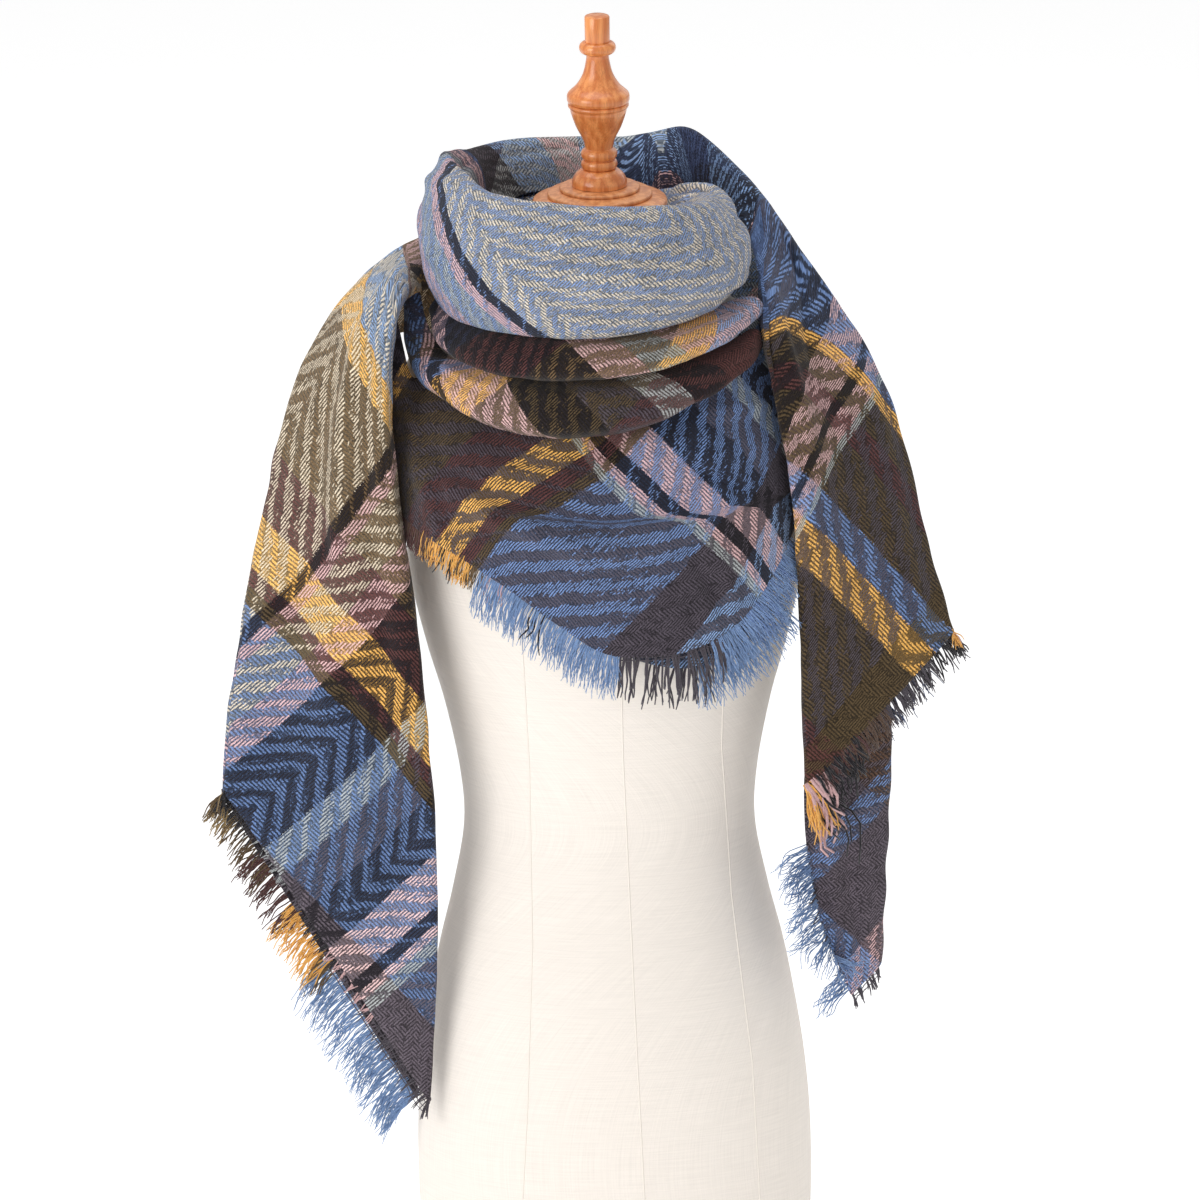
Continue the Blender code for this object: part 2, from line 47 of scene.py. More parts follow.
CLOTH = 2.6 * MM
DOWN = np.array([0.0, 0.0, -1.0])

# ---------------------------------------------------------------- the cloth's sections, as in the solids

BAND_COLUMNS = "fold near far radius near_bow far_bow near_curl far_curl".split()
LEFT_TAIL = [
    ((-290, -30, 355), (-140, -60, 119), (-150, -28, 112), 6, 6, 2, 3, 0),
    ((-286, -30, 404), (-133, -66, 212), (-152, -28, 205), 8, 9, 3, 6, 2),
    ((-279, -28, 458), (-130, -74, 300), (-156, -26, 295), 9, 12, 4, 10, 3),
    ((-270, -25, 520), (-134, -82, 392), (-162, -24, 385), 10, 14, 4, 12, 3),
    ((-259, -22, 575), (-141, -90, 482), (-170, -20, 478), 11, 16, 5, 14, 3),
    ((-247, -18, 629), (-153, -96, 571), (-176, -14, 560), 12, 16, 6, 16, 3),
    ((-232, -10, 678), (-163, -100, 647), (-186, -4, 628), 13, 14, 8, 18, 3),
    ((-211, 4, 716), (-164, -94, 706), (-190, 14, 668), 14, 12, 10, 18, 3),
    ((-184, 26, 746), (-156, -78, 746), (-184, 40, 690), 14, 10, 12, 16, 3),
    ((-150, 50, 767), (-146, -46, 760), (-166, 68, 692), 12, 6, 12, 10, 3),
]
NAPE = [
    ((-112, 70, 780), (-124, 10, 750), (-130, 94, 690), 9, 2, 10, 2, 2),
    ((-64, 76, 794), (-66, 50, 772), (-84, 100, 694), 6, 1, 6, 0, 2),
    ((-12, 72, 800), (-12, 60, 776), (-20, 92, 712), 5, 0, 3, 0, 2),
    ((36, 62, 804), (33, 52, 782), (44, 86, 730), 5, 0, 3, 0, 2),
]
COWL_AXIS = (-8, 0)
COWL_COLUMNS = (
    "angle fold_r fold_z near_r near_z far_r far_z radius near_bow far_bow near_curl far_curl".split()
)
COWL = [
    (122, 76, 812, 64, 784, 92, 750, 9, 0, 4, 0, 3),
    (98, 88, 820, 66, 782, 104, 752, 16, 2, 8, 0, 7),
    (74, 98, 824, 74, 780, 112, 752, 20, 2, 11, 0, 7),
    (48, 110, 832, 88, 778, 122, 750, 19, 2, 12, 0, 8),
    (20, 118, 840, 98, 778, 130, 746, 18, 2, 12, 0, 9),
    (-10, 120, 845, 100, 778, 132, 744, 18, 2, 12, 0, 9),
    (-40, 116, 847, 98, 780, 130, 744, 17, 2, 12, 0, 9),
    (-66, 112, 850, 90, 784, 124, 746, 16, 2, 10, 0, 8),
    (-90, 107, 849, 84, 780, 121, 757, 14, 2, 6, 0, 6),
    (-114, 103, 843, 82, 786, 119, 786, 12, 1, 3, 0, 3),
]
BACK_WRAP = [
    ((-72, 78, 840), (-66, 68, 800), (-80, 96, 784), 10, 1, 3, 0, 2),
    ((-33, 96, 838), (-30, 85, 802), (-38, 112, 776), 9, 1, 5, 0, 2),
    ((4, 97, 836), (3, 86, 798), (8, 120, 730), 9, 1, 6, 0, 2),
    ((36, 94, 838), (38, 82, 800), (48, 122, 700), 10, 2, 8, 0, 2),
    ((66, 84, 846), (74, 70, 798), (92, 116, 684), 12, 4, 10, 0, 2),
    ((94, 64, 830), (98, 46, 786), (128, 100, 668), 13, 4, 12, 0, 3),
]
RIGHT_TAIL = [
    ((120, 42, 804), (114, 20, 774), (160, 78, 654), 13, 4, 12, 0, 3),
    ((147, 22, 771), (119, -34, 755), (184, 54, 630), 13, 6, 10, 8, 3),
    ((174, 4, 736), (121, -72, 726), (186, 26, 610), 12, 9, 8, 12, 3),
    ((196, -6, 704), (127, -90, 688), (182, 8, 590), 12, 12, 6, 14, 3),
    ((215, -14, 664), (137, -95, 640), (178, -4, 560), 11, 14, 5, 14, 3),
    ((230, -20, 614), (143, -96, 580), (172, -12, 520), 10, 14, 4, 12, 3),
    ((242, -25, 556), (146, -92, 508), (166, -18, 468), 9, 13, 4, 10, 3),
    ((255, -28, 506), (148, -88, 440), (162, -22, 420), 8, 11, 3, 8, 2),
    ((262, -30, 478), (150, -84, 374), (158, -26, 370), 6, 8, 2, 4, 0),
]
RIGHT_TAIL_UNDER = [
    ((214, -44, 440), (156, -64, 436), (166, -44, 436), 5, 2, 1, 0, 0),
    ((213, -42, 380), (149, -64, 374), (164, -40, 376), 6, 3, 1, 0, 0),
    ((210, -40, 318), (151, -63, 312), (166, -38, 316), 6, 4, 1, 0, 0),
    ((207, -39, 262), (162, -60, 254), (174, -38, 258), 5, 3, 1, 0, 0),
    ((204, -38, 220), (183, -56, 200), (188, -38, 206), 4, 1, 1, 0, 0),
]
SWAG_COLUMNS = "angle top_r top_z belly_r belly_z low_r low_z tuck_r tuck_z".split()
SWAG_UPPER = [
    (-84, 103, 750, 118, 742, 122, 734, 116, 729),
    (-62, 105, 746, 124, 733, 128, 722, 117, 716),
    (-36, 106, 746, 130, 732, 135, 717, 122, 710),
    (-8, 108, 748, 133, 733, 139, 718, 125, 711),
    (22, 108, 748, 132, 735, 138, 722, 125, 716),
    (48, 105, 748, 132, 740, 137, 731, 128, 727),
    (70, 121, 748, 133, 748, 137, 741, 134, 738),
]
SWAG_LOWER = [
    (-90, 130, 747, 137, 746, 141, 736, 138, 728),
    (-79, 127, 728, 137, 727, 142, 715, 139, 706),
    (-68, 120, 710, 138, 709, 143, 699, 139, 692),
    (-55, 112, 707, 135, 704, 141, 691, 134, 683),
    (-42, 109, 711, 132, 699, 139, 682, 129, 673),
    (-14, 108, 715, 135, 700, 142, 677, 128, 667),
    (14, 110, 717, 134, 703, 141, 682, 128, 672),
    (38, 116, 719, 134, 711, 140, 695, 130, 688),
    (56, 125, 723, 138, 720, 142, 708, 137, 702),
    (65, 132, 728, 139, 728, 142, 718, 139, 713),
]
BIB_COLUMNS = "top chest hem".split()
BIB = [
    ((-157, -24, 744), (-160, -52, 664), (-158, -64, 596)),
    ((-144, -42, 691), (-146, -76, 642), (-144, -88, 588)),
    ((-125, -46, 700), (-128, -96, 628), (-126, -108, 580)),
    ((-80, -77, 672), (-85, -118, 620), (-80, -128, 554)),
    ((-42, -92, 678), (-44, -130, 604), (-38, -136, 524)),
    ((-6, -94, 678), (-6, -133, 596), (-4, -139, 502)),
    ((28, -93, 686), (26, -132, 596), (26, -138, 497)),
    ((62, -88, 696), (60, -126, 604), (62, -132, 500)),
    ((90, -74, 712), (94, -112, 616), (98, -120, 516)),
    ((110, -50, 730), (124, -86, 628), (126, -102, 550)),
    ((134, -20, 734), (148, -44, 656), (153, -58, 600)),
]
BIB_UNDER = [
    ((-30, -116, 580), (-32, -121, 550), (-30, -126, 520)),
    ((0, -117, 580), (0, -122, 542), (2, -128, 502)),
    ((32, -116, 580), (32, -121, 538), (34, -126, 488)),
    ((62, -110, 580), (64, -115, 538), (70, -120, 484)),
    ((90, -98, 590), (96, -103, 550), (102, -109, 502)),
    ((114, -78, 604), (120, -84, 572), (126, -92, 534)),
]

# Soft folds: where they start and end in percent along and across the sheet, half width, height.
LEFT_TAIL_FOLDS = [
    (5, 16, 80, 20, 20, 5),
    (12, 30, 95, 26, 18, -5),
    (0, 40, 70, 36, 20, 4),
    (10, 72, 85, 78, 22, 5),
    (20, 90, 90, 88, 16, -3),
    (55, 10, 99, 14, 7, 3),
    (62, 19, 100, 23, 6, -3),
    (30, 24, 62, 38, 10, 2),
    (2, 10, 30, 30, 9, -2),
]
RIGHT_TAIL_FOLDS = [
    (10, 8, 34, 10, 9, 9),
    (18, 16, 55, 17, 12, -6),
    (25, 30, 98, 22, 20, 4),
    (35, 42, 95, 38, 18, -4),
    (15, 72, 80, 78, 24, 5),
    (8, 34, 40, 26, 8, 3),
    (50, 10, 78, 20, 8, -2),
]
COWL_FOLDS = [
    (10, 62, 62, 74, 16, -3),
    (30, 86, 82, 70, 18, 3),
    (2, 40, 24, 56, 9, -5),
    (70, 42, 90, 60, 9, -4),
    (30, 56, 55, 60, 7, -2),
    (55, 80, 95, 66, 8, -2),
    (8, 50, 34, 64, 7, 3),
    (78, 48, 97, 74, 7, 3),
    (12, 86, 40, 80, 8, -3),
    (72, 36, 99, 52, 7, -5),
    (80, 30, 98, 42, 6, 4),
    (4, 34, 20, 46, 6, 5),
    (44, 66, 74, 60, 6, 2),
]
BACK_WRAP_FOLDS = [
    (10, 55, 100, 62, 12, 4),
    (5, 72, 100, 76, 14, -5),
    (20, 92, 100, 88, 12, 4),
    (5, 34, 80, 30, 8, 2),
]
NAPE_FOLDS = [
    (5, 60, 95, 66, 9, 3),
    (5, 76, 95, 80, 9, -3),
]
BIB_FOLDS = [
    (18, 52, 72, 40, 13, -6),
    (20, 64, 66, 54, 17, 6.5),
    (66, 60, 74, 100, 8, -4),
    (52, 10, 92, 52, 16, 5),
    (8, 20, 16, 96, 16, 4),
    (60, 20, 86, 66, 6, -4),
    (70, 14, 94, 40, 7, 4),
    (70, 62, 77, 96, 4, 3),
    (30, 34, 62, 24, 9, 2),
]
UNDER_FOLDS = [
    (5, 24, 95, 28, 8, 3),
    (10, 12, 80, 16, 6, -3),
]
SWAG_FOLDS = [
    (5, 50, 50, 42, 6, -2),
    (40, 36, 95, 50, 6, 2),
]

# ---------------------------------------------------------------- shapes

EDGE_SHARE = 0.06  # the rim's end of a panel, as a share of the way to the shoulder
CURL_OUT, CURL_DOWN = 1.2, 0.1  # how far a curled rim stands off, as shares of its curl
FOLD_FADE = (0.12, 0.76, 0.8)  # a fold's height fades to its ends as a part of a sine, to a power
WAVES, WAVE_LENGTHS, WAVE_HEIGHT = 14, (20, 60), 0.16  # the cloth's slight unevenness, in millimetres


def unit(vectors):
    return vectors / np.maximum(np.linalg.norm(vectors, axis=-1, keepdims=True), 1e-9)


def rows_of(columns, table):
    return [{c: np.array(v, float) * MM for c, v in zip(columns, row)} for row in table]


def spline(points, places):
    """The Catmull-Rom curve through points, read at places counted in points."""
    points = np.asarray(points, float)
    last = len(points) - 1
    padded = np.concatenate([[2 * points[0] - points[1]], points, [2 * points[-1] - points[-2]]])
    places = np.clip(np.asarray(places, float), 0, last)
    start = np.minimum(places.astype(int), last - 1)
    t = (places - start).reshape(-1, *[1] * (points.ndim - 1))
    a, b, c, d = (padded[start + k] for k in range(4))
    return 0.5 * (
        2 * b + (c - a) * t + (2 * a - 5 * b + 4 * c - d) * t**2 + (3 * b - a - 3 * c + d) * t**3
    )


def lengths_along(line):
    """The length along a line at each of its points."""
    return np.concatenate([[0], np.cumsum(np.linalg.norm(np.diff(line, axis=0), axis=1))])


def even_places(points, count, by_length):
    """Places along a curve, spread by its length, by its points or by a mix of both."""
    dense = np.linspace(0, len(points) - 1, 24 * len(points))
    length = lengths_along(spline(points, dense).reshape(len(dense), -1))
    spread = by_length * length / length[-1] + (1 - by_length) * dense / dense[-1]
    return np.interp(np.linspace(0, 1, count), spread, dense)


def band_section(row):
    """The curve of one section of the band, from the near edge over the fold to the far edge."""
    fold, near, far, radius = row["fold"], row["near"], row["far"], row["radius"]
    hang = unit((near + far) / 2 - fold)
    across = near - far
    across = unit(across - hang * (across @ hang))
    near_shoulder = fold + hang * radius + across * radius
    far_shoulder = fold + hang * radius - across * radius
    points = [
        near - across * row["near_curl"] * CURL_OUT + hang * row["near_curl"] * CURL_DOWN,
        near + (near_shoulder - near) * EDGE_SHARE,
        (near + near_shoulder) / 2 + across * row["near_bow"],
        near_shoulder,
        fold,
        far_shoulder,
        (far + far_shoulder) / 2 - across * row["far_bow"],
        far + (far_shoulder - far) * EDGE_SHARE,
        far + across * row["far_curl"] * CURL_OUT,
    ]
    return points if row["near_curl"] > 0 else [near, *points[1:]]


def ray_points(row, ends):
    """The points of a section given by its angle, and a radius and height for each end."""
    turn = math.radians(float(row["angle"]) / MM)
    way = np.array([math.sin(turn), -math.cos(turn), 0.0])
    axis = np.array([*COWL_AXIS, 0.0]) * MM
    return {e: axis + way * row[e + "_r"] - DOWN * row[e + "_z"] for e in ends}


def cowl_section(row):
    return band_section({**row, **ray_points(row, ("fold", "near", "far"))})


def swag_section(row):
    return list(ray_points(row, ("top", "belly", "low", "tuck")).values())


def normals_of(grid):
    return unit(np.cross(np.gradient(grid, axis=1), np.gradient(grid, axis=0)))


def folded(grid, folds, seed):
    """The sheet with soft folds and a slight unevenness raised along its normals."""
    ways = [np.linspace(0, 1, n) for n in grid.shape[:2]]
    share = np.stack(np.meshgrid(*ways, indexing="ij"), axis=2)
    size = np.array([np.linalg.norm(np.diff(grid, axis=k), axis=2).sum(k).mean() for k in (0, 1)])
    first, middle, power = FOLD_FADE
    lift = unevenness(grid, seed)
    for *ends, half_width, height in folds:
        start, end = np.reshape(ends, (2, 2)) / 100 * size
        run = end - start
        offset = share * size - start
        t = np.clip(offset @ run / (run @ run), 0, 1)
        away = np.linalg.norm(offset - t[..., None] * run, axis=2) / (half_width * MM)
        fade = np.sin(np.pi * (first + middle * t)) ** power
        lift += height * MM * fade * np.where(away < 1, np.cos(np.pi * away / 2) ** 2, 0)
    return grid + normals_of(grid) * lift[..., None]


def unevenness(grid, seed):
    """Slight waves, with a height of about half a millimetre in all."""
    draw = np.random.default_rng(seed)
    lift = np.zeros(grid.shape[:2])
    for _ in range(WAVES):
        wave = unit(draw.normal(size=3)) * 2 * np.pi / (draw.uniform(*WAVE_LENGTHS) * MM)
        lift += WAVE_HEIGHT * MM * np.sin(grid @ wave + draw.uniform(0, 6.3))
    return lift


def flat_map(grid, anchor, ways, middle, mirrored):
    """Where each point lies on the flat cloth: out from its section's anchor by its length along it.
    ways points from the anchor to the sheet's first side. The other side is laid opposite, or
    mirrored in the line of the anchors."""
    steps = np.linalg.norm(np.diff(grid, axis=1), axis=2)
    length = np.concatenate([np.zeros((len(grid), 1)), np.cumsum(steps, axis=1)], axis=1)
    length = np.abs(length - length[:, middle : middle + 1])
    back = -ways
    if mirrored:
        run = unit(np.gradient(anchor, axis=0))
        back = 2 * (ways * run).sum(1, keepdims=True) * run - ways
    first_side = (np.arange(grid.shape[1]) <= middle)[None, :, None]
    return anchor[:, None] + np.where(first_side, ways[:, None], back[:, None]) * length[..., None]


def unrolled(line, heights):
    """Flat places along a line: its length from its point nearest to zero on X, and a height."""
    length = lengths_along(line)
    return np.stack([length - length[np.argmin(np.abs(line[:, 0]))], heights], axis=1)


# ---------------------------------------------------------------- meshes


def mesh_object(name, points, faces, looks, slots=None):
    mesh = bpy.data.meshes.new(name)
    faces = faces.tolist() if isinstance(faces, np.ndarray) else faces
    mesh.from_pydata(np.asarray(points).tolist(), [], faces)
    for look in looks:
        mesh.materials.append(look)
    if slots is not None:
        mesh.polygons.foreach_set("material_index", np.asarray(slots, np.int32))
    mesh.validate()
    mesh.update()
    made = bpy.data.objects.new(name, mesh)
    bpy.context.scene.collection.objects.link(made)
    mesh.shade_smooth()
    return made


def map_corners(mesh, flat):
    """Gives each corner of each face its place on the flat cloth."""
    mesh.uv_layers.new(name="cloth").data.foreach_set("uv", np.asarray(flat, float).ravel())


def dress(piece, slot, *nodes):
    """Lets a piece ride the part's one body, in place of the solids it stands for."""
    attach(piece, "root")
    if nodes:
        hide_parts(*nodes)
    return piece


def quads(index):
    return np.stack(
        [index[:-1, :-1], index[:-1, 1:], index[1:, 1:], index[1:, :-1]], axis=2
    ).reshape(-1, 4)


RIM = 0.4 * CLOTH  # how far the rounded rim stands out


def shell(name, grid, normals, flat, looks, row_slots=None):
    """A thin closed sheet with a rounded rim. row_slots gives each row of faces its material."""
    along, across = grid.shape[:2]
    count = along * across
    front = np.arange(count).reshape(along, across)
    back = front + count
    ring = np.concatenate([front[0, :-1], front[:-1, -1], front[-1, :0:-1], front[:0:-1, 0]])
    rim = np.arange(len(ring)) + 2 * count
    half = 0.5 * CLOTH * normals
    outward = unit(rim_outward(grid, normals).reshape(-1, 3)[ring])
    middle = grid.reshape(-1, 3)[ring]
    points = np.concatenate(
        [(grid + half).reshape(-1, 3), (grid - half).reshape(-1, 3), middle + outward * RIM]
    )
    turn = np.roll(np.arange(len(ring)), -1)
    upper = np.stack([ring, rim, rim[turn], ring[turn]], axis=1)
    lower = np.stack([rim, ring + count, ring[turn] + count, rim[turn]], axis=1)
    faces = np.concatenate([quads(front), quads(back)[:, ::-1], upper, lower])
    slots = None
    if row_slots is not None:
        sheet_slots = np.repeat(row_slots, across - 1)
        ring_slots = row_slots[np.minimum(ring // across, along - 2)]
        slots = np.concatenate([sheet_slots, sheet_slots, ring_slots, ring_slots])
    made = mesh_object(name, points, faces, looks, slots)
    flat = flat.reshape(-1, 2)
    corners = np.empty(len(made.data.loops), np.int32)
    made.data.loops.foreach_get("vertex_index", corners)
    map_corners(made.data, np.concatenate([flat, flat, flat[ring]])[corners])
    return made


def rim_outward(grid, normals):
    """The way off the sheet at each edge point, square to the sheet's normal."""
    out = np.zeros_like(grid)
    out[0] += grid[0] - grid[1]
    out[-1] += grid[-1] - grid[-2]
    out[:, 0] += grid[:, 0] - grid[:, 1]
    out[:, -1] += grid[:, -1] - grid[:, -2]
    return out - normals * (out * normals).sum(2, keepdims=True)


# ---------------------------------------------------------------- the band and the chest pieces

# The band's stretches: name, first and last section, points along it, its folds, its seed, and the
# layer that shows from the front.
STRETCHES = [
    ("left_tail", 0, 9, 100, LEFT_TAIL_FOLDS, 11, "near"),
    ("nape_wrap", 9, 14, 56, NAPE_FOLDS, 12, "far"),
    ("cowl", 14, 23, 110, COWL_FOLDS, 13, "far"),
    ("back_wrap", 23, 30, 60, BACK_WRAP_FOLDS, 14, "far"),
    ("right_tail", 30, 38, 100, RIGHT_TAIL_FOLDS, 15, "near"),
]
BAND_ACROSS = 76


def band_lines():
    sections = [band_section(r) for r in rows_of(BAND_COLUMNS, LEFT_TAIL + NAPE)]
    sections += [cowl_section(r) for r in rows_of(COWL_COLUMNS, COWL)]
    sections += [band_section(r) for r in rows_of(BAND_COLUMNS, BACK_WRAP + RIGHT_TAIL)]
    return np.array([spline(s, even_places(s, BAND_ACROSS, 0.6)) for s in sections])


def band_flat(grid, side):
    """Flat places of one stretch. A tail keeps its place as seen from the front, and the rest is
    unrolled along the fold."""
    middle = BAND_ACROSS // 2
    fold = grid[:, middle]
    if side == "near":
        ways = unit((grid[:, BAND_ACROSS // 6] - fold)[:, [0, 2]])
        return flat_map(grid, fold[:, [0, 2]], ways, middle, True)
    anchor = unrolled(fold, fold[:, 2]) * (np.sign(fold[-1, 0] - fold[0, 0]), 1)
    ways = np.tile([0.0, -1.0], (len(grid), 1))
    return flat_map(grid[:, ::-1], anchor, ways, BAND_ACROSS - 1 - middle, True)[:, ::-1]


def build_band(looks):
    lines = band_lines()
    parts, flats, slots = [], [], []
    for k, (name, first, last, along, folds, seed, side) in enumerate(STRETCHES):
        grid = folded(spline(lines, np.linspace(first, last, along)), folds, seed)
        shared = min(k, 1)  # a stretch starts on the last line of the one before it
        parts.append(grid[shared:])
        flats.append(band_flat(grid, side)[shared:])
        slots += [k] * (along - 1)
    whole = smoothed(np.concatenate(parts))
    normals = normals_of(whole)
    names = [s[0] for s in STRETCHES]
    band = shell(
        "scarf_band", whole, normals, np.concatenate(flats), [looks[n] for n in names], np.array(slots)
    )
    return dress(band, "olive", *names), whole, normals


def smoothed(grid):
    """The joins between stretches, evened out along the band."""
    out = grid.copy()
    out[1:-1] = 0.25 * grid[:-2] + 0.5 * grid[1:-1] + 0.25 * grid[2:]
    return out


# Points along and across each chest piece, and the line across that its flat places start from.
SWAG_GRID, SWAG_MIDDLE = (120, 40), 26
BIB_GRID, BIB_MIDDLE = (120, 70), 35
UNDER_GRID, UNDER_MIDDLE, UNDER_NEAR = (80, 50), 25, 8


def chest_grids():
    """Each chest piece: its grid and its flat places."""
    made = {}
    for name, table, seed in (("swag_upper", SWAG_UPPER, 21), ("swag_lower", SWAG_LOWER, 22)):
        sections = [swag_section(r) for r in rows_of(SWAG_COLUMNS, table)]
        grid = sheet_grid(sections, SWAG_GRID, SWAG_FOLDS, seed)
        made[name] = (grid, hung_flat(grid, SWAG_MIDDLE, True))
    for name, table, folds, seed in (("bib", BIB, BIB_FOLDS, 23), ("bib_under", BIB_UNDER, [], 24)):
        sections = [[r[c] for c in BIB_COLUMNS] for r in rows_of(BIB_COLUMNS, table)]
        grid = sheet_grid(sections, BIB_GRID, folds, seed)
        made[name] = (grid, with_tuck(hung_flat(grid, BIB_MIDDLE, False)))
    sections = [band_section(r) for r in rows_of(BAND_COLUMNS, RIGHT_TAIL_UNDER)]
    grid = sheet_grid(sections, UNDER_GRID, UNDER_FOLDS, 25)
    fold = grid[:, UNDER_MIDDLE]
    ways = unit((grid[:, UNDER_NEAR] - fold)[:, [0, 2]])
    flat = flat_map(grid, fold[:, [0, 2]], ways, UNDER_MIDDLE, True)
    made["right_tail_under"] = (grid, flat)
    return made


def sheet_grid(sections, size, folds, seed):
    along, across = size
    lines = np.array([spline(s, even_places(s, across, 0.8)) for s in sections])
    grid = spline(lines, even_places(lines[:, across // 2], along, 1.0))
    return folded(grid, folds, seed)


def hung_flat(grid, middle, mirrored):
    """Flat places of a piece that hangs on the chest, unrolled along its middle line."""
    anchor = unrolled(grid[:, middle], grid[:, middle, 2])
    return flat_map(grid, anchor, np.tile([0.0, 1.0], (len(grid), 1)), middle, mirrored)


def build_chest(looks):
    pieces = {}
    for name, (grid, flat) in chest_grids().items():
        normals = normals_of(grid)
        piece = shell("cloth_" + name, grid, normals, flat, [looks[name]])
        pieces[name] = (dress(piece, "slate", name), grid, normals)
    return pieces


# The bib's crease hides a tuck of cloth. Its height, its ends, how far it is spread and how much it
# hides, in millimetres.
TUCK_HEIGHT = 603
TUCK_ENDS = (-80, 0)
TUCK_SPREAD = 6
TUCK_DEPTH = 25


def with_tuck(flat):
    """Flat places, with the cloth that the bib's crease hides let in above it."""
    across, up = flat[..., 0] / MM, flat[..., 1] / MM
    fade = np.clip((across - TUCK_ENDS[0]) / (TUCK_ENDS[1] - TUCK_ENDS[0]), 0, 1)
    above = np.clip((up - TUCK_HEIGHT) / TUCK_SPREAD + 0.5, 0, 1)
    moved = flat.copy()
    moved[..., 1] += TUCK_DEPTH * MM * fade * above
    return moved


# ---------------------------------------------------------------- fringe

STRAND_SIDES = 4
STRAND_STEPS = 7
HEM_POINTS = 200
CLUMP, CLUMP_PULL = 6, 0.85  # yarns in a clump, and how much of the way to its middle they are drawn
ROOT = 3 * MM  # how far inside the hem a yarn starts
ROOT_SPREAD = 0.5 * MM
DRIFT, SWAY = 0.08, 0.07  # how much yarns lean along the hem, and how far they swing for their curl
CROSSING_POINTS, CROSSING_SWAY, CROSSING_RADIUS = 60, 0.9, 0.45
CROSSING_LIFT = 0.2 * MM
FRINGE_SEED = 40
FORM_GAP = 1.5 * MM
TUBE_REFERENCE = (0.21, -0.97, 0.11)  # a way that no yarn runs along

# Each hem of loose yarns: the sheet, its edge, and where the hem starts and ends in percent of that
# edge. Then its yarns: start and end in percent of the hem, yarn, count, length, how far they bend
# down and how much they curl, in percent, and radius in hundredths of a millimetre. Last, the yarns
# that still cross them, with their distances off the cloth in millimetres.
FRINGES = {
    "left_tail_fringe": [("band", "first", 50, 0, [
        (0, 27, "black", 64, 15, 30, 60, 55),
        (23, 34, "pale", 20, 7, 20, 40, 50),
        (30, 44, "charcoal", 26, 6, 20, 40, 50),
        (42, 54, "black", 34, 12, 30, 60, 50),
        (50, 68, "pink", 40, 9, 20, 50, 55),
        (66, 99, "charcoal", 70, 15, 30, 40, 50),
    ], [(2, 26, "black", (3, 6)), (54, 99, "charcoal", (3, 6, 9))])],
    "left_tail_back_fringe": [("band", "first", 50, 97, [
        (2, 20, "khaki", 50, 24, 50, 90, 60),
        (6, 34, "olive", 90, 24, 45, 80, 60),
        (28, 45, "maroon", 76, 28, 40, 90, 60),
        (42, 58, "mustard", 84, 32, 50, 100, 60),
        (55, 61, "olive", 24, 30, 60, 80, 60),
        (57, 99, "sky", 300, 42, 50, 80, 45),
    ], [])],
    "right_tail_fringe": [("band", "last", 50, 0, [
        (0, 5, "mustard", 26, 13, 30, 80, 50),
        (3, 8, "pink", 6, 12, 30, 80, 60),
        (5, 30, "black", 34, 20, 30, 80, 75),
        (22, 50, "charcoal", 54, 20, 40, 60, 60),
        (46, 72, "brown", 70, 20, 40, 90, 60),
        (60, 88, "maroon", 84, 18, 40, 90, 60),
        (62, 86, "black", 34, 34, 60, 180, 95),
        (88, 100, "mustard", 44, 40, 70, 80, 70),
        (80, 96, "pink", 13, 56, 80, 220, 150),
        (84, 92, "black", 7, 68, 80, 160, 110),
    ], [])],
    "right_tail_back_fringe": [("band", "last", 50, 100, [
        (10, 95, "charcoal", 90, 22, 40, 80, 60),
        (30, 90, "slate_blue", 50, 26, 50, 80, 50),
    ], [])],
    "right_under_fringe": [("right_tail_under", "near", 48, 100, [
        (5, 98, "sky", 200, 36, 25, 150, 45),
        (30, 100, "charcoal", 30, 9, 30, 60, 50),
    ], []), ("right_tail_under", "last", 2, 50, [
        (0, 100, "charcoal", 26, 13, 60, 50, 70),
    ], [(0, 100, "charcoal", (3, 6))])],
    "bib_left_fringe": [("bib", "far", 3, 53, [
        (0, 24, "maroon", 110, 20, 50, 80, 50),
        (5, 22, "brown", 40, 17, 50, 80, 50),
        (18, 40, "mustard", 110, 20, 60, 90, 50),
        (26, 33, "black", 8, 23, 60, 120, 70),
        (34, 46, "olive", 50, 18, 60, 80, 50),
        (43, 100, "sky", 330, 33, 72, 70, 40),
        (46, 54, "pink", 8, 18, 60, 100, 60),
        (64, 70, "black", 5, 26, 70, 160, 80),
    ], [])],
    "bib_right_fringe": [("bib", "far", 53, 93, [
        (0, 50, "charcoal", 46, 38, 75, 50, 85),
        (42, 100, "sky", 280, 30, 20, 80, 45),
        (60, 98, "blue", 70, 30, 25, 90, 45),
    ], [(0, 46, "charcoal", (3,))])],
    "bib_under_fringe": [("bib_under", "far", 36, 98, [
        (0, 40, "charcoal", 34, 30, 70, 60, 80),
        (30, 100, "sky", 220, 34, 30, 90, 45),
    ], [])],
}


def hem_of(grid, normals, edge, start, end):
    """Points along a hem, the way off the cloth, the way the cloth faces and the way along the hem."""
    if edge in ("near", "far"):
        grid, normals = grid.transpose(1, 0, 2), normals.transpose(1, 0, 2)
    rim, inner = (0, 1) if edge in ("first", "near") else (-1, -2)
    places = np.linspace(start / 100, end / 100, HEM_POINTS) * (grid.shape[1] - 1)
    line, facing = spline(grid[rim], places), unit(spline(normals[rim], places))
    run = unit(np.gradient(line, axis=0))
    out = unit(np.cross(run, facing))
    out *= np.sign(((line - spline(grid[inner], places)) * out).sum())
    return line, out, facing, run


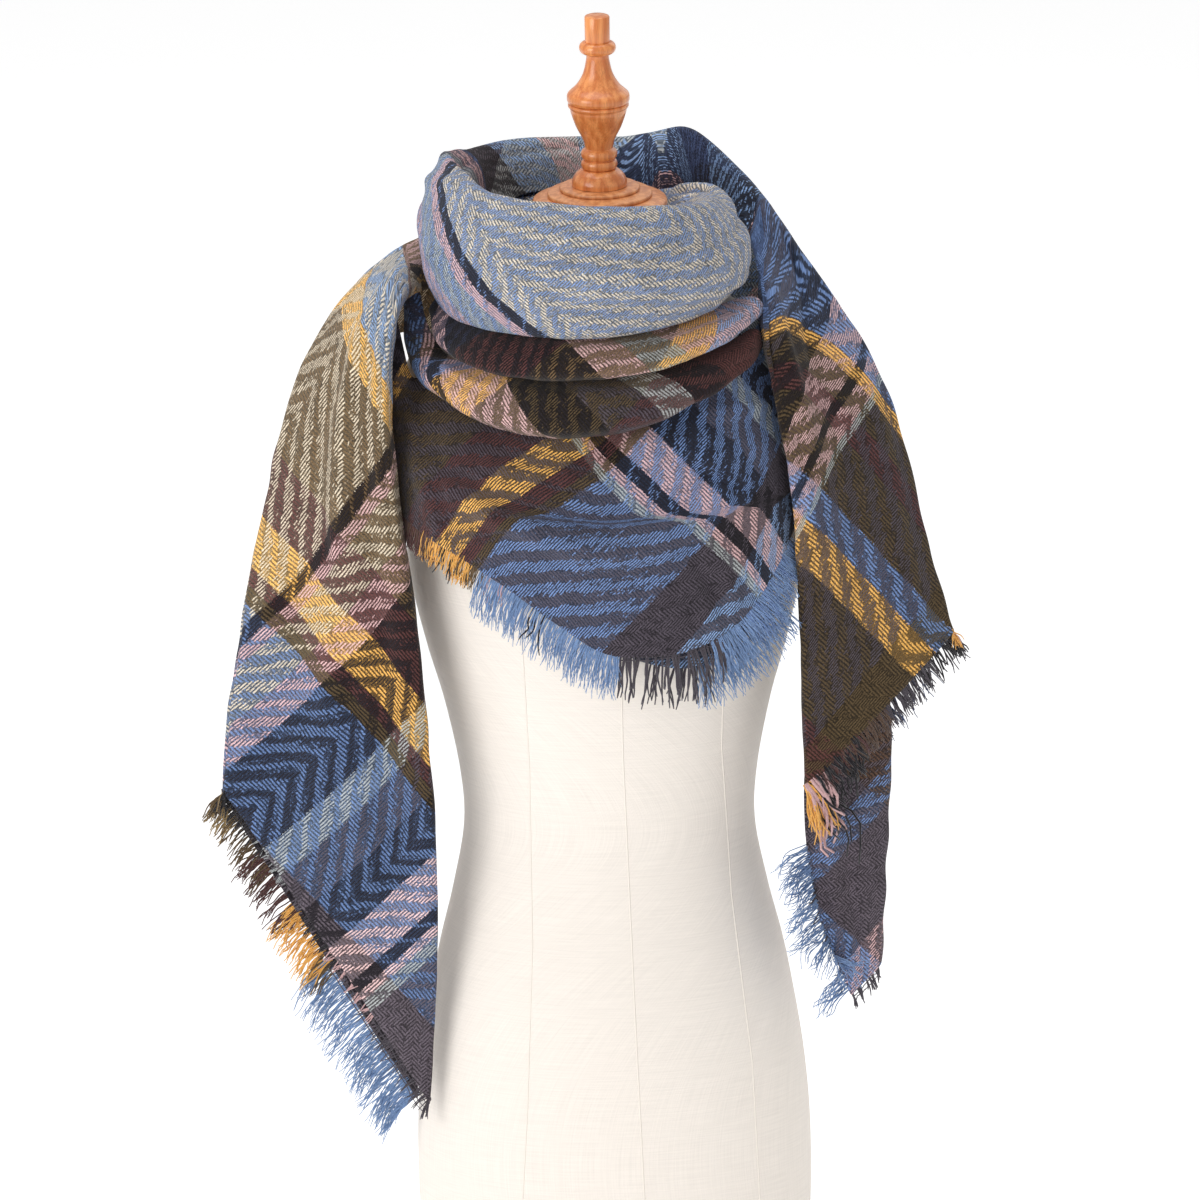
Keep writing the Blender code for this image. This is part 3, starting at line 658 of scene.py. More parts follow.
def loose_yarns(hem, start, end, count, length, lean, curl, draw):
    """Paths of yarns that hang off a hem in clumps, bent down and a little curled."""
    start, end, lean, curl = start / 100, end / 100, lean / 100, curl / 100
    share = np.sort(draw.uniform(start, end, count))
    root, out, facing, run = (spline(v, share * (len(v) - 1)) for v in hem)
    clump = CLUMP * (end - start) / count
    to_middle = np.round(share / clump) * clump - share
    pull = to_middle[:, None] * lengths_along(hem[0])[-1] * CLUMP_PULL
    size = length * MM * draw.uniform(0.6, 1.12, (count, 1))
    phase, turns = draw.uniform(0, 2 * np.pi, (2, count, 1)), draw.uniform(0.5, 1.5, (2, count, 1))
    drift = draw.normal(0, DRIFT, (count, 1))
    place = root - out * ROOT + facing * draw.normal(0, ROOT_SPREAD, (count, 1))
    path = []
    for t in np.linspace(0, 1, STRAND_STEPS + 1):
        bend = lean * t**0.8
        way = unit(out * (1 - bend) + DOWN * bend + run * drift)
        place = place + way * (size + ROOT) / STRAND_STEPS * (t > 0)
        aside, off = 2 * np.pi * turns * t + phase
        sway = curl * size * SWAY * t
        path.append(place + run * (pull * t + sway * np.sin(aside)) + facing * sway * np.cos(off))
    return clear_of_form(np.stack(path, axis=1))


def crossing_yarn(hem, start, end, distance, draw):
    """The path of one yarn that still crosses the loose ones, along the hem."""
    share = np.linspace(start / 100, end / 100, CROSSING_POINTS)
    line, out, facing, _ = (spline(v, share * (len(v) - 1)) for v in hem)
    sways = draw.normal(0, CROSSING_SWAY, CROSSING_POINTS + 4)
    sway = np.convolve(sways, np.ones(5) / 5, "valid")[:, None]
    return clear_of_form(line + out * (distance + sway) * MM + facing * CROSSING_LIFT)[None]


def clear_of_form(points):
    """Points moved out level, where they would be inside the dress form or too close to it."""
    heights, half_width, front, back = (np.array(FORM) * MM).T
    x, y, level = np.moveaxis(points, -1, 0)
    deep = np.where(y < 0, np.interp(level, heights, front), np.interp(level, heights, back))
    wide = np.interp(level, heights, half_width)
    inside = np.sqrt((x / (wide + FORM_GAP)) ** 2 + (y / (deep + FORM_GAP)) ** 2)
    moved = points.copy()
    moved[..., :2] /= np.minimum(inside, 1)[..., None]
    return moved


def tubes(paths, radius, taper=0.45):
    """Thin tubes along paths of equal length, closed at both ends and thinner at the far one."""
    count, steps = paths.shape[:2]
    tangent = unit(np.gradient(paths, axis=1))
    side = unit(np.cross(tangent, TUBE_REFERENCE))
    up = np.cross(side, tangent)
    turns = np.linspace(0, 2 * np.pi, STRAND_SIDES, endpoint=False)
    radii = radius * MM * (1 - taper * np.linspace(0, 1, steps) ** 2)
    ring = np.cos(turns)[:, None] * side[:, :, None] + np.sin(turns)[:, None] * up[:, :, None]
    points = paths[:, :, None] + ring * radii[:, None, None]
    index = np.arange(count * steps * STRAND_SIDES).reshape(count, steps, STRAND_SIDES)
    wrapped = np.concatenate([index, index[..., :1]], axis=2)
    walls = np.stack(
        [wrapped[:, :-1, :-1], wrapped[:, :-1, 1:], wrapped[:, 1:, 1:], wrapped[:, 1:, :-1]], axis=3
    )
    ends = np.concatenate([index[:, 0, ::-1], index[:, -1]])
    return points.reshape(-1, 3), np.concatenate([walls.reshape(-1, 4), ends])


def joined(found):
    """Several lots of points and faces as one."""
    counts = np.cumsum([0] + [len(points) for points, _ in found])
    faces = np.concatenate([faces + first for (_, faces), first in zip(found, counts)])
    return np.concatenate([points for points, _ in found]), faces


def build_fringe(name, hems, sheets, yarns, seed):
    draw = np.random.default_rng(seed)
    found, colours = [], []
    for sheet, edge, start, end, rows, crossing in hems:
        hem = hem_of(*sheets[sheet], edge, start, end)
        for first, last, yarn, count, length, lean, curl, radius in rows:
            paths = loose_yarns(hem, first, last, count, length, lean, curl, draw)
            found.append(tubes(paths, radius / 100))
            colours += [yarn] * len(found[-1][1])
        for first, last, yarn, distances in crossing:
            for distance in distances:
                found.append(tubes(crossing_yarn(hem, first, last, distance, draw), CROSSING_RADIUS))
                colours += [yarn] * len(found[-1][1])
    used = list(dict.fromkeys(colours))
    slots = [used.index(yarn) for yarn in colours]
    made = mesh_object("yarns_" + name, *joined(found), [yarns[y] for y in used], slots)
    return dress(made, "slate", name)


def build_fringes(sheets):
    yarns = {name: yarn_material(name, colour) for name, colour in YARNS.items()}
    return {
        name: build_fringe(name, hems, sheets, yarns, FRINGE_SEED + k)
        for k, (name, hems) in enumerate(FRINGES.items())
    }


# ---------------------------------------------------------------- materials


def linear(colour):
    """A display colour, 0 to 255, as the linear values that the shader reads."""
    return tuple(c / 255 / 12.92 if c <= 10 else ((c / 255 + 0.055) / 1.055) ** 2.4 for c in colour)


YARNS = {
    "blue": (108, 134, 182),
    "denim": (96, 120, 164),
    "sky": (126, 154, 196),
    "slate_blue": (76, 92, 130),
    "cream": (206, 192, 170),
    "pale": (160, 164, 164),
    "mustard": (234, 176, 92),
    "khaki": (150, 126, 86),
    "pink": (206, 168, 168),
    "rose": (222, 186, 184),
    "maroon": (86, 54, 52),
    "brown": (90, 68, 54),
    "olive": (102, 82, 58),
    "moss": (82, 68, 48),
    "ash": (92, 84, 92),
    "charcoal": (76, 70, 78),
    "navy": (46, 50, 70),
    "black": (32, 29, 34),
}
LINEN = (244, 236, 227)
# Each wood: its name, its light and dark tones, and its roughness.
CAP_WOOD = ("cap_wood", (240, 168, 110), (208, 132, 80), 0.4)
FINIAL_WOOD = ("finial_wood", (244, 160, 94), (212, 120, 60), 0.28)


def feed(tree, socket, value):
    """Joins a socket to another one, or gives it a value."""
    if isinstance(value, bpy.types.NodeSocket):
        tree.links.new(value, socket)
    else:
        socket.default_value = value


def node(tree, kind, *values, **named):
    """A node, with its inputs given in order or by name."""
    made = tree.nodes.new(kind)
    for socket, value in zip(made.inputs, values):
        feed(tree, socket, value)
    for name, value in named.items():
        feed(tree, made.inputs[name], value)
    return made


def calc(tree, operation, *values):
    made = tree.nodes.new("ShaderNodeMath")
    made.operation = operation
    for socket, value in zip(made.inputs, values):
        feed(tree, socket, value)
    return made.outputs[0]


def total(tree, *terms, plus=0.0):
    """The sum of values, each with its weight."""
    for value, weight in terms:
        plus = calc(tree, "MULTIPLY_ADD", value, weight, plus)
    return plus


def centred(tree, value):
    return calc(tree, "SUBTRACT", value, 0.5)


def wave(tree, *terms):
    """A wave from -1 to 1 over the sum of places, each times its waves per millimetre."""
    return calc(tree, "COSINE", total(tree, *[(value, 2 * math.pi * rate) for value, rate in terms]))


def mixed(tree, share, first, second):
    made = tree.nodes.new("ShaderNodeMix")
    for k, value in ((0, share), (2, first), (3, second)):
        feed(tree, made.inputs[k], value)
    return made.outputs[0]


def mixed_colours(tree, share, first, second, kind="MIX"):
    made = tree.nodes.new("ShaderNodeMix")
    made.data_type = "RGBA"
    made.blend_type = kind
    for k, value in ((0, share), (6, first), (7, second)):
        feed(tree, made.inputs[k], value)
    return made.outputs[2]


def shaded(tree, colour, shade):
    """A colour times a shade of grey."""
    grey = node(tree, "ShaderNodeCombineColor", shade, shade, shade).outputs[0]
    return mixed_colours(tree, 1.0, colour, grey, "MULTIPLY")


def smooth_step(tree, value, low, high):
    made = node(tree, "ShaderNodeMapRange", value, low, high)
    made.interpolation_type = "SMOOTHSTEP"
    return made.outputs[0]


def noise(tree, place, scale, detail=2.0):
    return node(tree, "ShaderNodeTexNoise", Vector=place, Scale=scale, Detail=detail).outputs[0]


def stretched_noise(tree, place, scales, detail=2.0):
    stretched = node(tree, "ShaderNodeMapping", Vector=place, Scale=scales)
    return noise(tree, stretched.outputs[0], 1.0, detail)


def new_look(name, **inputs):
    """A material, its node tree and its shader, with the shader's inputs given by name."""
    look = bpy.data.materials.new(name)
    look.use_nodes = True
    shader = look.node_tree.nodes["Principled BSDF"]
    for key, value in inputs.items():
        shader.inputs[key.replace("_", " ")].default_value = value
    return look, look.node_tree, shader


def flat_place(tree):
    """A place on the flat cloth, in metres, and its two parts."""
    made = node(tree, "ShaderNodeUVMap")
    made.uv_map = "cloth"
    return made.outputs[0], node(tree, "ShaderNodeSeparateXYZ", made.outputs[0]).outputs


def finish_look(tree, shader, colour, height, strength, depth):
    """Gives a shader its colour, and a bump of a strength and a depth in millimetres."""
    tree.links.new(colour, shader.inputs["Base Color"])
    bump = node(tree, "ShaderNodeBump", Height=height, Strength=strength, Distance=depth * MM)
    tree.links.new(bump.outputs[0], shader.inputs["Normal"])


GAMMA = 2.2  # the plaid's colours are mixed as display values and then made linear
NARROW = 13  # a stripe narrower than this, in millimetres, floats over the other family's yarns
FALL_GAP = 1.3  # the falling yarns' distance apart, next to the rising ones'
TWILL = (0.096, 0.137)  # the fine twill's waves per millimetre, along falling and rising places
CHANGE = (-0.4, 0.4)  # over which the yarns on top change from falling to rising ones
DASH = (-0.7, 0.5)  # where on a yarn's rounded profile it starts to show, and shows in full
BLUR = 5.0  # how far the stripes' edges stray, in millimetres
FIRST_START, LAST_WIDTH = -300, 40  # where a table's first stripe starts, and its last one's width


def stripes(tree, place, table):
    """A yarn family's colour at a place across it, in millimetres, and a value that is 1 on wide
    stripes and 0 on narrow ones."""
    yarns, starts = table[::2], [FIRST_START, *table[1::2], table[-2] + LAST_WIDTH]
    low, high = starts[0], starts[-1]
    share = calc(tree, "DIVIDE", calc(tree, "SUBTRACT", place, low), high - low)
    made = node(tree, "ShaderNodeValToRGB", share)
    made.color_ramp.interpolation = "CONSTANT"
    stops = made.color_ramp.elements
    for _ in yarns[2:]:
        stops.new(0.5)
    for stop, start in zip(stops, starts):
        stop.position = (start - low) / (high - low)
    for stop, yarn, start, end in zip(stops, yarns, starts, starts[1:]):
        stop.color = (*[c / 255 for c in YARNS[yarn]], 0.0 if end - start < NARROW else 1.0)
    return made.outputs


def yarn_places(tree, place, gap, wander, fine):
    """For yarns laid at a gap: the middle of the yarn at a place, its rounded profile from -1 to 1,
    and a value of its own."""
    swayed = total(tree, (place, 1 / gap), (wander, 1.5), (fine, 0.22))
    number = calc(tree, "ROUND", swayed)
    own = tree.nodes.new("ShaderNodeTexWhiteNoise")
    own.noise_dimensions = "1D"
    feed(tree, own.inputs["W"], number)
    return calc(tree, "MULTIPLY", number, gap), wave(tree, (swayed, 1.0)), centred(tree, own.outputs[0])


def streaks(tree, across, along):
    """The tone of single yarns, which changes from yarn to yarn and slowly along each."""
    parts = calc(tree, "MULTIPLY", across, 0.42), calc(tree, "MULTIPLY", along, 0.03)
    return centred(tree, noise(tree, node(tree, "ShaderNodeCombineXYZ", *parts).outputs[0], 1.0))


def cloth_material(name, rising, falling, warp, bars, bar_share, turn_at, turn_gap, gap, slip=None):
    """Brushed plaid twill. rising and falling are the stripes of the two yarn families, which run
    towards the upper right and the lower right. Their yarns take turns on top, by broad bars and by
    a fine twill, which both turn back on lines along the warp."""
    look, tree, shader = new_look(
        name,
        Roughness=0.95,
        Specular_IOR_Level=0.08,
        Sheen_Weight=0.12,
        Sheen_Roughness=0.6,
        Sheen_Tint=(0.9, 0.88, 0.86, 1.0),
    )
    uv, parts = flat_place(tree)
    across, upward = [calc(tree, "MULTIPLY", part, 1 / MM / math.sqrt(2)) for part in parts[:2]]
    rise = calc(tree, "SUBTRACT", upward, across)
    fall = calc(tree, "ADD", upward, across)
    if slip:
        bent = calc(tree, "MAXIMUM", calc(tree, "SUBTRACT", rise, slip[0]), 0.0)
        fall = calc(tree, "MULTIPLY_ADD", calc(tree, "MULTIPLY", bent, bent), slip[1], fall)
    wander = centred(tree, noise(tree, uv, 40.0, 3.0))
    ragged = centred(tree, noise(tree, uv, 230.0))
    fine = centred(tree, noise(tree, uv, 620.0, 3.0))
    mottle = centred(tree, noise(tree, uv, 900.0))

    def turned_back(place, family):
        if family != warp:
            return place
        return calc(tree, "PINGPONG", calc(tree, "SUBTRACT", place, turn_at), turn_gap)

    rise_middle, rise_round, rise_own = yarn_places(tree, rise, gap, wander, fine)
    fall_middle, fall_round, fall_own = yarn_places(tree, fall, gap * FALL_GAP, wander, fine)
    rise_back, fall_back = turned_back(rise, "rising"), turned_back(fall, "falling")
    blur = calc(tree, "MULTIPLY", fine, BLUR)
    rise_colour, rise_wide = stripes(tree, calc(tree, "ADD", rise, blur), rising)
    fall_colour, fall_wide = stripes(tree, calc(tree, "ADD", fall, blur), falling)
    lean = total(tree, (fine, 3.0), (fall_wide, 0.6), (rise_wide, -0.6))

    def rising_on_top(twill_fall, twill_rise, own):
        bar = wave(
            tree, (fall_back, bars[0]), (rise_back, bars[1]), (wander, 0.5), (ragged, 0.5), (own, 0.2)
        )
        twill = wave(tree, (twill_fall, TWILL[0]), (twill_rise, TWILL[1]), (own, 0.3), (wander, 0.7))
        return smooth_step(tree, total(tree, (bar, bar_share), (lean, 1.0), (twill, 0.5)), *CHANGE)

    def dashes(on_top, profile):
        shown = smooth_step(tree, total(tree, (profile, 1.0), (mottle, 2.0)), *DASH)
        return calc(tree, "MULTIPLY", on_top, shown)

    rise_up = rising_on_top(fall_back, turned_back(rise_middle, "rising"), rise_own)
    fall_down = rising_on_top(turned_back(fall_middle, "falling"), rise_back, fall_own)
    rise_dash = dashes(rise_up, rise_round)
    fall_dash = dashes(calc(tree, "SUBTRACT", 1.0, fall_down), fall_round)
    under = calc(tree, "MULTIPLY_ADD", fall_dash, -0.34, 0.42)
    over = calc(tree, "MAXIMUM", calc(tree, "MULTIPLY", rise_dash, 0.95), under)
    # raised is 1 on a yarn's crown and 0 in the gaps between yarns. It lifts the bump, and it also
    # darkens the gaps between yarns as painted shade.
    raised = calc(tree, "MAXIMUM", rise_dash, fall_dash)

    plaid = mixed_colours(tree, over, fall_colour, rise_colour)
    tone = mixed(tree, over, streaks(tree, fall, rise), streaks(tree, rise, fall))
    # In shade, tone, mottle and wander vary the yarns' own colour. The raised term is painted shade in
    # the gaps between yarns and a painted highlight on their crowns.
    shade = total(tree, (tone, 0.4), (mottle, 0.9), (raised, 0.46), (wander, 0.2), plus=0.64)
    colour = node(tree, "ShaderNodeGamma", Color=shaded(tree, plaid, shade), Gamma=GAMMA)
    height = total(tree, (raised, 0.9), (mottle, 0.9), (fine, 0.8))
    finish_look(tree, shader, colour.outputs[0], height, 0.45, 0.7)
    return look


# Each piece's stripes of rising and of falling yarns: the first one's yarn, then where each next one
# starts, in millimetres across the yarns, and its yarn. Then the family that is the warp, the bars'
# waves per millimetre along falling and along rising places, the bars' weight, where the twill first
# turns back, and the distance between turns and between neighbouring yarns. The right tail's last
# pair says where along the rising places its falling yarns start to bend aside, and how fast.
PLAID = {
    "left_tail": (
        (
            "ash", 248, "pale", 259, "rose", 266, "black", 275, "rose", 309, "black", 342,
            "charcoal", 374, "pale", 398, "black", 462, "pink", 487, "cream", 516, "pink", 525,
            "black", 536, "cream",
        ),
        (
            "ash", 34, "denim", 167, "moss", 178, "maroon", 191, "mustard", 224, "maroon", 270,
            "olive", 381, "mustard", 413, "sky",
        ),
        "rising", (0.042, 0.054), 0.85, 225.0, 101.0, 2.25,
    ),
    "nape_wrap": (
        ("cream", 620, "pink", 700, "black", 712, "cream"),
        ("olive", 470, "mustard", 500, "blue"),
        "rising", (0.042, 0.054), 0.9, 225.0, 101.0, 1.9,
    ),
    "cowl": (
        ("blue", 745, "navy"),
        ("slate_blue", 420, "pink", 446, "pale", 472, "pink", 484, "black", 493, "cream"),
        "falling", (0.064, 0.046), 0.62, 516.0, 106.0, 1.7,
    ),
    "back_wrap": (
        (
            "slate_blue", 372, "pink", 384, "black", 394, "pink", 424, "sky", 500, "slate_blue",
            560, "sky", 600, "pink", 632, "sky", 668, "black",
        ),
        ("charcoal", 538, "pale", 622, "navy", 694, "black"),
        "falling", (0.05, 0.05), 0.4, 516.0, 106.0, 2.0,
    ),
    "right_tail": (
        (
            "moss", 186, "charcoal", 325, "pale", 333, "pink", 347, "black", 358, "pink", 397,
            "black", 445, "charcoal", 492, "slate_blue",
        ),
        (
            "maroon", 393, "moss", 471, "mustard", 496, "blue", 520, "moss", 560, "maroon", 580,
            "moss", 602, "mustard", 612, "blue",
        ),
        "rising", (0.046, 0.032), 0.9, 338.0, 160.0, 2.0, (375.0, 0.0036),
    ),
    "right_tail_under": (
        ("pink", 36, "ash", 98, "blue", 120, "ash"),
        ("blue", 300, "ash", 392, "brown"),
        "rising", (0.05, 0.05), 0.7, 60.0, 130.0, 1.9,
    ),
    "swag_upper": (
        ("sky", 452, "mustard", 480, "olive", 545, "maroon", 600, "navy"),
        ("black", 385, "pink", 405, "black", 505, "pink", 535, "pale", 562, "pink"),
        "falling", (0.05, 0.06), 0.8, 500.0, 120.0, 1.8,
    ),
    "swag_lower": (
        ("maroon", 470, "moss", 558, "mustard", 598, "blue", 625, "moss", 650, "charcoal"),
        (
            "blue", 372, "pink", 381, "black", 390, "pink", 440, "black", 482, "charcoal", 517,
            "pale", 541, "black", 575, "maroon",
        ),
        "falling", (0.05, 0.04), 0.8, 490.0, 120.0, 1.8,
    ),
    "bib": (
        (
            "sky", 311, "charcoal", 352, "blue", 469, "moss", 476, "maroon", 486, "mustard", 508,
            "maroon", 542, "moss", 616, "mustard", 630, "black",
        ),
        (
            "charcoal", 465, "pale", 474, "pink", 482, "black", 491, "pink", 520, "black", 557,
            "charcoal", 585, "pale", 606, "black", 632, "pale",
        ),
        "falling", (0.035, 0.045), 0.95, 318.0, 149.0, 1.9,
    ),
    "bib_under": (
        ("sky", 352, "blue"),
        ("charcoal", 465, "pale", 474, "pink", 482, "black", 491, "pink", 520, "black"),
        "falling", (0.035, 0.045), 0.95, 318.0, 149.0, 1.9,
    ),
}
LINEN_THREADS = (1250.0, 1150.0)  # per metre, across and upwards
LINEN_SLUBS = ((28.0, 900.0, 1.0), (900.0, 20.0, 1.0))
WOOD_GRAIN = (220.0, 220.0, 14.0)
WOOD_PORES = (1600.0, 1600.0, 90.0)


def yarn_material(name, colour):
    look, tree, shader = new_look(
        "yarn_" + name, Roughness=0.95, Specular_IOR_Level=0.15, Sheen_Weight=0.3
    )
    fuzz = noise(tree, node(tree, "ShaderNodeTexCoord").outputs["Object"], 700.0)
    shown = shaded(tree, (*linear(colour), 1.0), total(tree, (fuzz, 0.8), plus=0.6))
    finish_look(tree, shader, shown, fuzz, 0.5, 0.4)
    return look


def linen_material():
    look, tree, shader = new_look("linen", Roughness=0.85, Specular_IOR_Level=0.25, Sheen_Weight=0.15)
    uv, parts = flat_place(tree)
    uneven = calc(tree, "MULTIPLY", centred(tree, noise(tree, uv, 60.0, 3.0)), 2.5)
    warp, weft = [
        calc(tree, "SINE", calc(tree, "MULTIPLY_ADD", part, 2 * math.pi * per_metre, uneven))
        for part, per_metre in zip(parts, LINEN_THREADS)
    ]
    threads = calc(tree, "ADD", warp, weft)
    slubs = calc(tree, "ADD", *[stretched_noise(tree, uv, scales) for scales in LINEN_SLUBS])
    shade = total(tree, (slubs, 0.15), (threads, 0.012), plus=0.85)
    shown = shaded(tree, (*linear(LINEN), 1.0), shade)
    finish_look(tree, shader, shown, total(tree, (threads, 0.2), plus=slubs), 0.35, 0.4)
    return look


def wood_material(name, light, dark, roughness):
    look, tree, shader = new_look(name, Roughness=roughness, Coat_Weight=0.35, Coat_Roughness=0.18)
    place = node(tree, "ShaderNodeTexCoord").outputs["Object"]
    grain = stretched_noise(tree, place, WOOD_GRAIN, 5.0)
    tone = smooth_step(tree, grain, 0.36, 0.68)
    base = mixed_colours(tree, tone, (*linear(dark), 1.0), (*linear(light), 1.0))
    pores = smooth_step(tree, stretched_noise(tree, place, WOOD_PORES), 0.3, 0.5)
    finish_look(tree, shader, shaded(tree, base, total(tree, (pores, 0.2), plus=0.8)), grain, 0.12, 0.3)
    return look


# ---------------------------------------------------------------- the dress form

# The body: height, half width, and depths to the front and to the back.
FORM = [
    (0, 149, 98, 108),
    (40, 150.5, 99, 112),
    (90, 150, 99, 115),
    (140, 146, 98, 115),
    (190, 138.5, 95, 110),
    (230, 131, 90, 101),
    (275, 120, 84, 88),
    (325, 111, 80, 77),
    (370, 113.5, 82, 74),
    (425, 124.5, 90, 78),
    (470, 137, 99, 84),
    (520, 148, 108, 89),
    (570, 152, 109, 92),
    (620, 154, 100, 95),
    (660, 154, 86, 94),
    (690, 148, 74, 88),
    (712, 132, 66, 80),
    (732, 104, 59, 71),
    (750, 74, 53, 60),
    (772, 55, 49, 51),
    (809.7, 50, 49, 50),
]
FORM_STEPS = 8
FORM_RING = 160
SEAM_FOOT, SEAM_TOP = 4, 690  # the welts end under the scarf
SEAM_RADIUS, SEAM_POINTS = 0.55, 160
# The cover's seams: rows of height and distance aside, and -1 for the front or 1 for the back.
FORM_SEAMS = [
    ([(0, -74), (120, -66), (250, -60), (390, -60), (560, -66), (690, -60)], -1),
    ([(0, 24), (200, 17), (400, 11), (690, 9)], -1),
    ([(0, 112), (150, 106), (280, 92), (400, 86), (560, 92), (690, 88)], -1),
    ([(0, -82), (250, -66), (400, -62), (690, -70)], 1),
    ([(0, 2), (690, 2)], 1),
    ([(0, 86), (250, 70), (400, 66), (690, 74)], 1),
]

# Turned profiles: lines and curves through heights and radii, and beads from their two heights, radius
# and bulge.
CAP_FOOT = 810 * MM
CAP_PROFILE = [
    ("line", (0, 47.5), (0.8, 49.5)),
    ("bead", (0.8, 7.2), 49.5, 1.6),
    ("line", (8.2, 47.0), (9.4, 42.5)),
    ("bead", (9.4, 12.6), 38.5, 1.2),
    ("line", (13.2, 35.0), (14.2, 31.5)),
    ("bead", (14.2, 17.0), 29.5, 1.0),
    ("line", (17.6, 26.0), (17.6, 25.0)),
]
FINIAL_FOOT = 828 * MM
FINIAL_PROFILE = [
    ("curve", (0, 21.0), (4, 20.6), (9, 17.8), (12.5, 13.6)),
    ("bead", (12.8, 20.0), 11.4, 2.4),
    ("bead", (20.6, 28.0), 11.4, 2.4),
    ("curve", (29.0, 10.4), (36, 12.2), (46, 17.2), (56, 20.8), (60, 21.4)),
    ("bead", (60.6, 64.4), 21.6, 1.5),
    ("curve", (65.2, 23.2), (68, 23.8), (72, 22.8), (78, 16.6), (87, 11.4), (98, 8.8), (102, 8.6)),
    ("bead", (102.4, 112.0), 9.4, 4.6),
    ("line", (112.4, 9.5), (131.0, 9.5)),
    ("line", (131.8, 9.0), (132.2, 8.0)),
]
TURNED_RING = 96
BEAD_POINTS = 11
SHARP_EDGE = math.radians(35)


def rings_of(count, rows):
    """Level rings of a number of points, from rows of half width, front depth, back depth, height."""
    turns = np.linspace(0, 2 * np.pi, count, endpoint=False)
    wide, front, back, level = np.array(rows).T[:, :, None]
    deep = np.where(np.sin(turns) < 0, front, back)
    x, y = wide * np.cos(turns), deep * np.sin(turns)
    return np.stack([x, y, level + 0 * x], axis=2)


def profile_points(profile):
    points = []
    for kind, *values in profile:
        if kind == "bead":
            (low, high), radius, bulge = values
            for turn in np.linspace(-math.pi / 2, math.pi / 2, BEAD_POINTS):
                middle = (low + high) / 2 + (high - low) / 2 * math.sin(turn)
                points.append((middle, radius + bulge * math.cos(turn)))
        elif kind == "curve":
            points += spline(values, np.linspace(0, len(values) - 1, 5 * len(values))).tolist()
        else:
            points += values
    return points


def loft(name, rings, look):
    """A closed solid through rings, with a map of lengths round and up it."""
    count, side = rings.shape[:2]
    index = np.arange(count * side).reshape(count, side)
    faces = quads(np.concatenate([index, index[:, :1]], axis=1)).tolist()
    faces += [index[0, ::-1].tolist(), index[-1].tolist()]
    made = mesh_object(name, rings.reshape(-1, 3), faces, [look])
    girths = np.linalg.norm(np.diff(rings, axis=1, append=rings[:, :1]), axis=2).sum(1)
    turn = np.linspace(0, 1, side + 1)
    flat = np.stack([girths[:, None] * turn, np.tile(rings[:, :1, 2], side + 1)], axis=2)
    walls = quads(np.arange(count * (side + 1)).reshape(count, side + 1)).ravel()
    caps = np.concatenate([flat[0, side - 1 :: -1], flat[-1, :side]])
    map_corners(made.data, np.concatenate([flat.reshape(-1, 2)[walls], caps]))
    made.data.set_sharp_from_angle(angle=SHARP_EDGE)
    return made


def turned(name, foot, profile, look):
    rows = [[radius * MM] * 3 + [foot + height * MM] for height, radius in profile_points(profile)]
    return loft(name, rings_of(TURNED_RING, rows), look)


def build_form_seams(look):
    """The welts of the linen cover's seams, half sunk in the body."""
    rows = np.array(FORM) * MM
    heights, half_width, front, back = spline(rows, np.linspace(0, len(rows) - 1, 400)).T
    places = np.linspace(SEAM_FOOT, SEAM_TOP, SEAM_POINTS) * MM
    wide, found = np.interp(places, heights, half_width), []
    for table, side in FORM_SEAMS:
        level, out = np.array(table).T * MM
        x = np.interp(places, level, out)
        deep = np.interp(places, heights, front if side < 0 else back)
        y = side * deep * np.sqrt(np.maximum(1 - (x / wide) ** 2, 0))
        found.append(tubes(np.stack([x, y, places], axis=1)[None], SEAM_RADIUS, 0))
    dress(mesh_object("form_seams", *joined(found), [look]), "linen")


def build_form():
    linen = linen_material()
    build_form_seams(linen)
    rows = np.array(FORM) * MM
    rows = spline(rows, np.linspace(0, len(rows) - 1, FORM_STEPS * (len(rows) - 1) + 1))
    body = loft("dress_form_body", rings_of(FORM_RING, np.roll(rows, -1, axis=1)), linen)
    cap = turned("dress_form_cap", CAP_FOOT, CAP_PROFILE, wood_material(*CAP_WOOD))
    finial = turned("dress_form_finial", FINIAL_FOOT, FINIAL_PROFILE, wood_material(*FINIAL_WOOD))
    dress(body, "linen", "form_body")
    dress(cap, "wood", "form_neck_cap")
    dress(finial, "wood", "form_finial")


# ---------------------------------------------------------------- camera, light and floor

VIEW_CENTRE = Vector((-0.0046, 0.0, 0.5))
VIEW_ELEVATION = math.radians(17)
VIEW_ROLL = 0.0157
VIEW_DISTANCE = 14.0
VIEW_FAR = 100.0
FRAME_WIDTH = 0.912
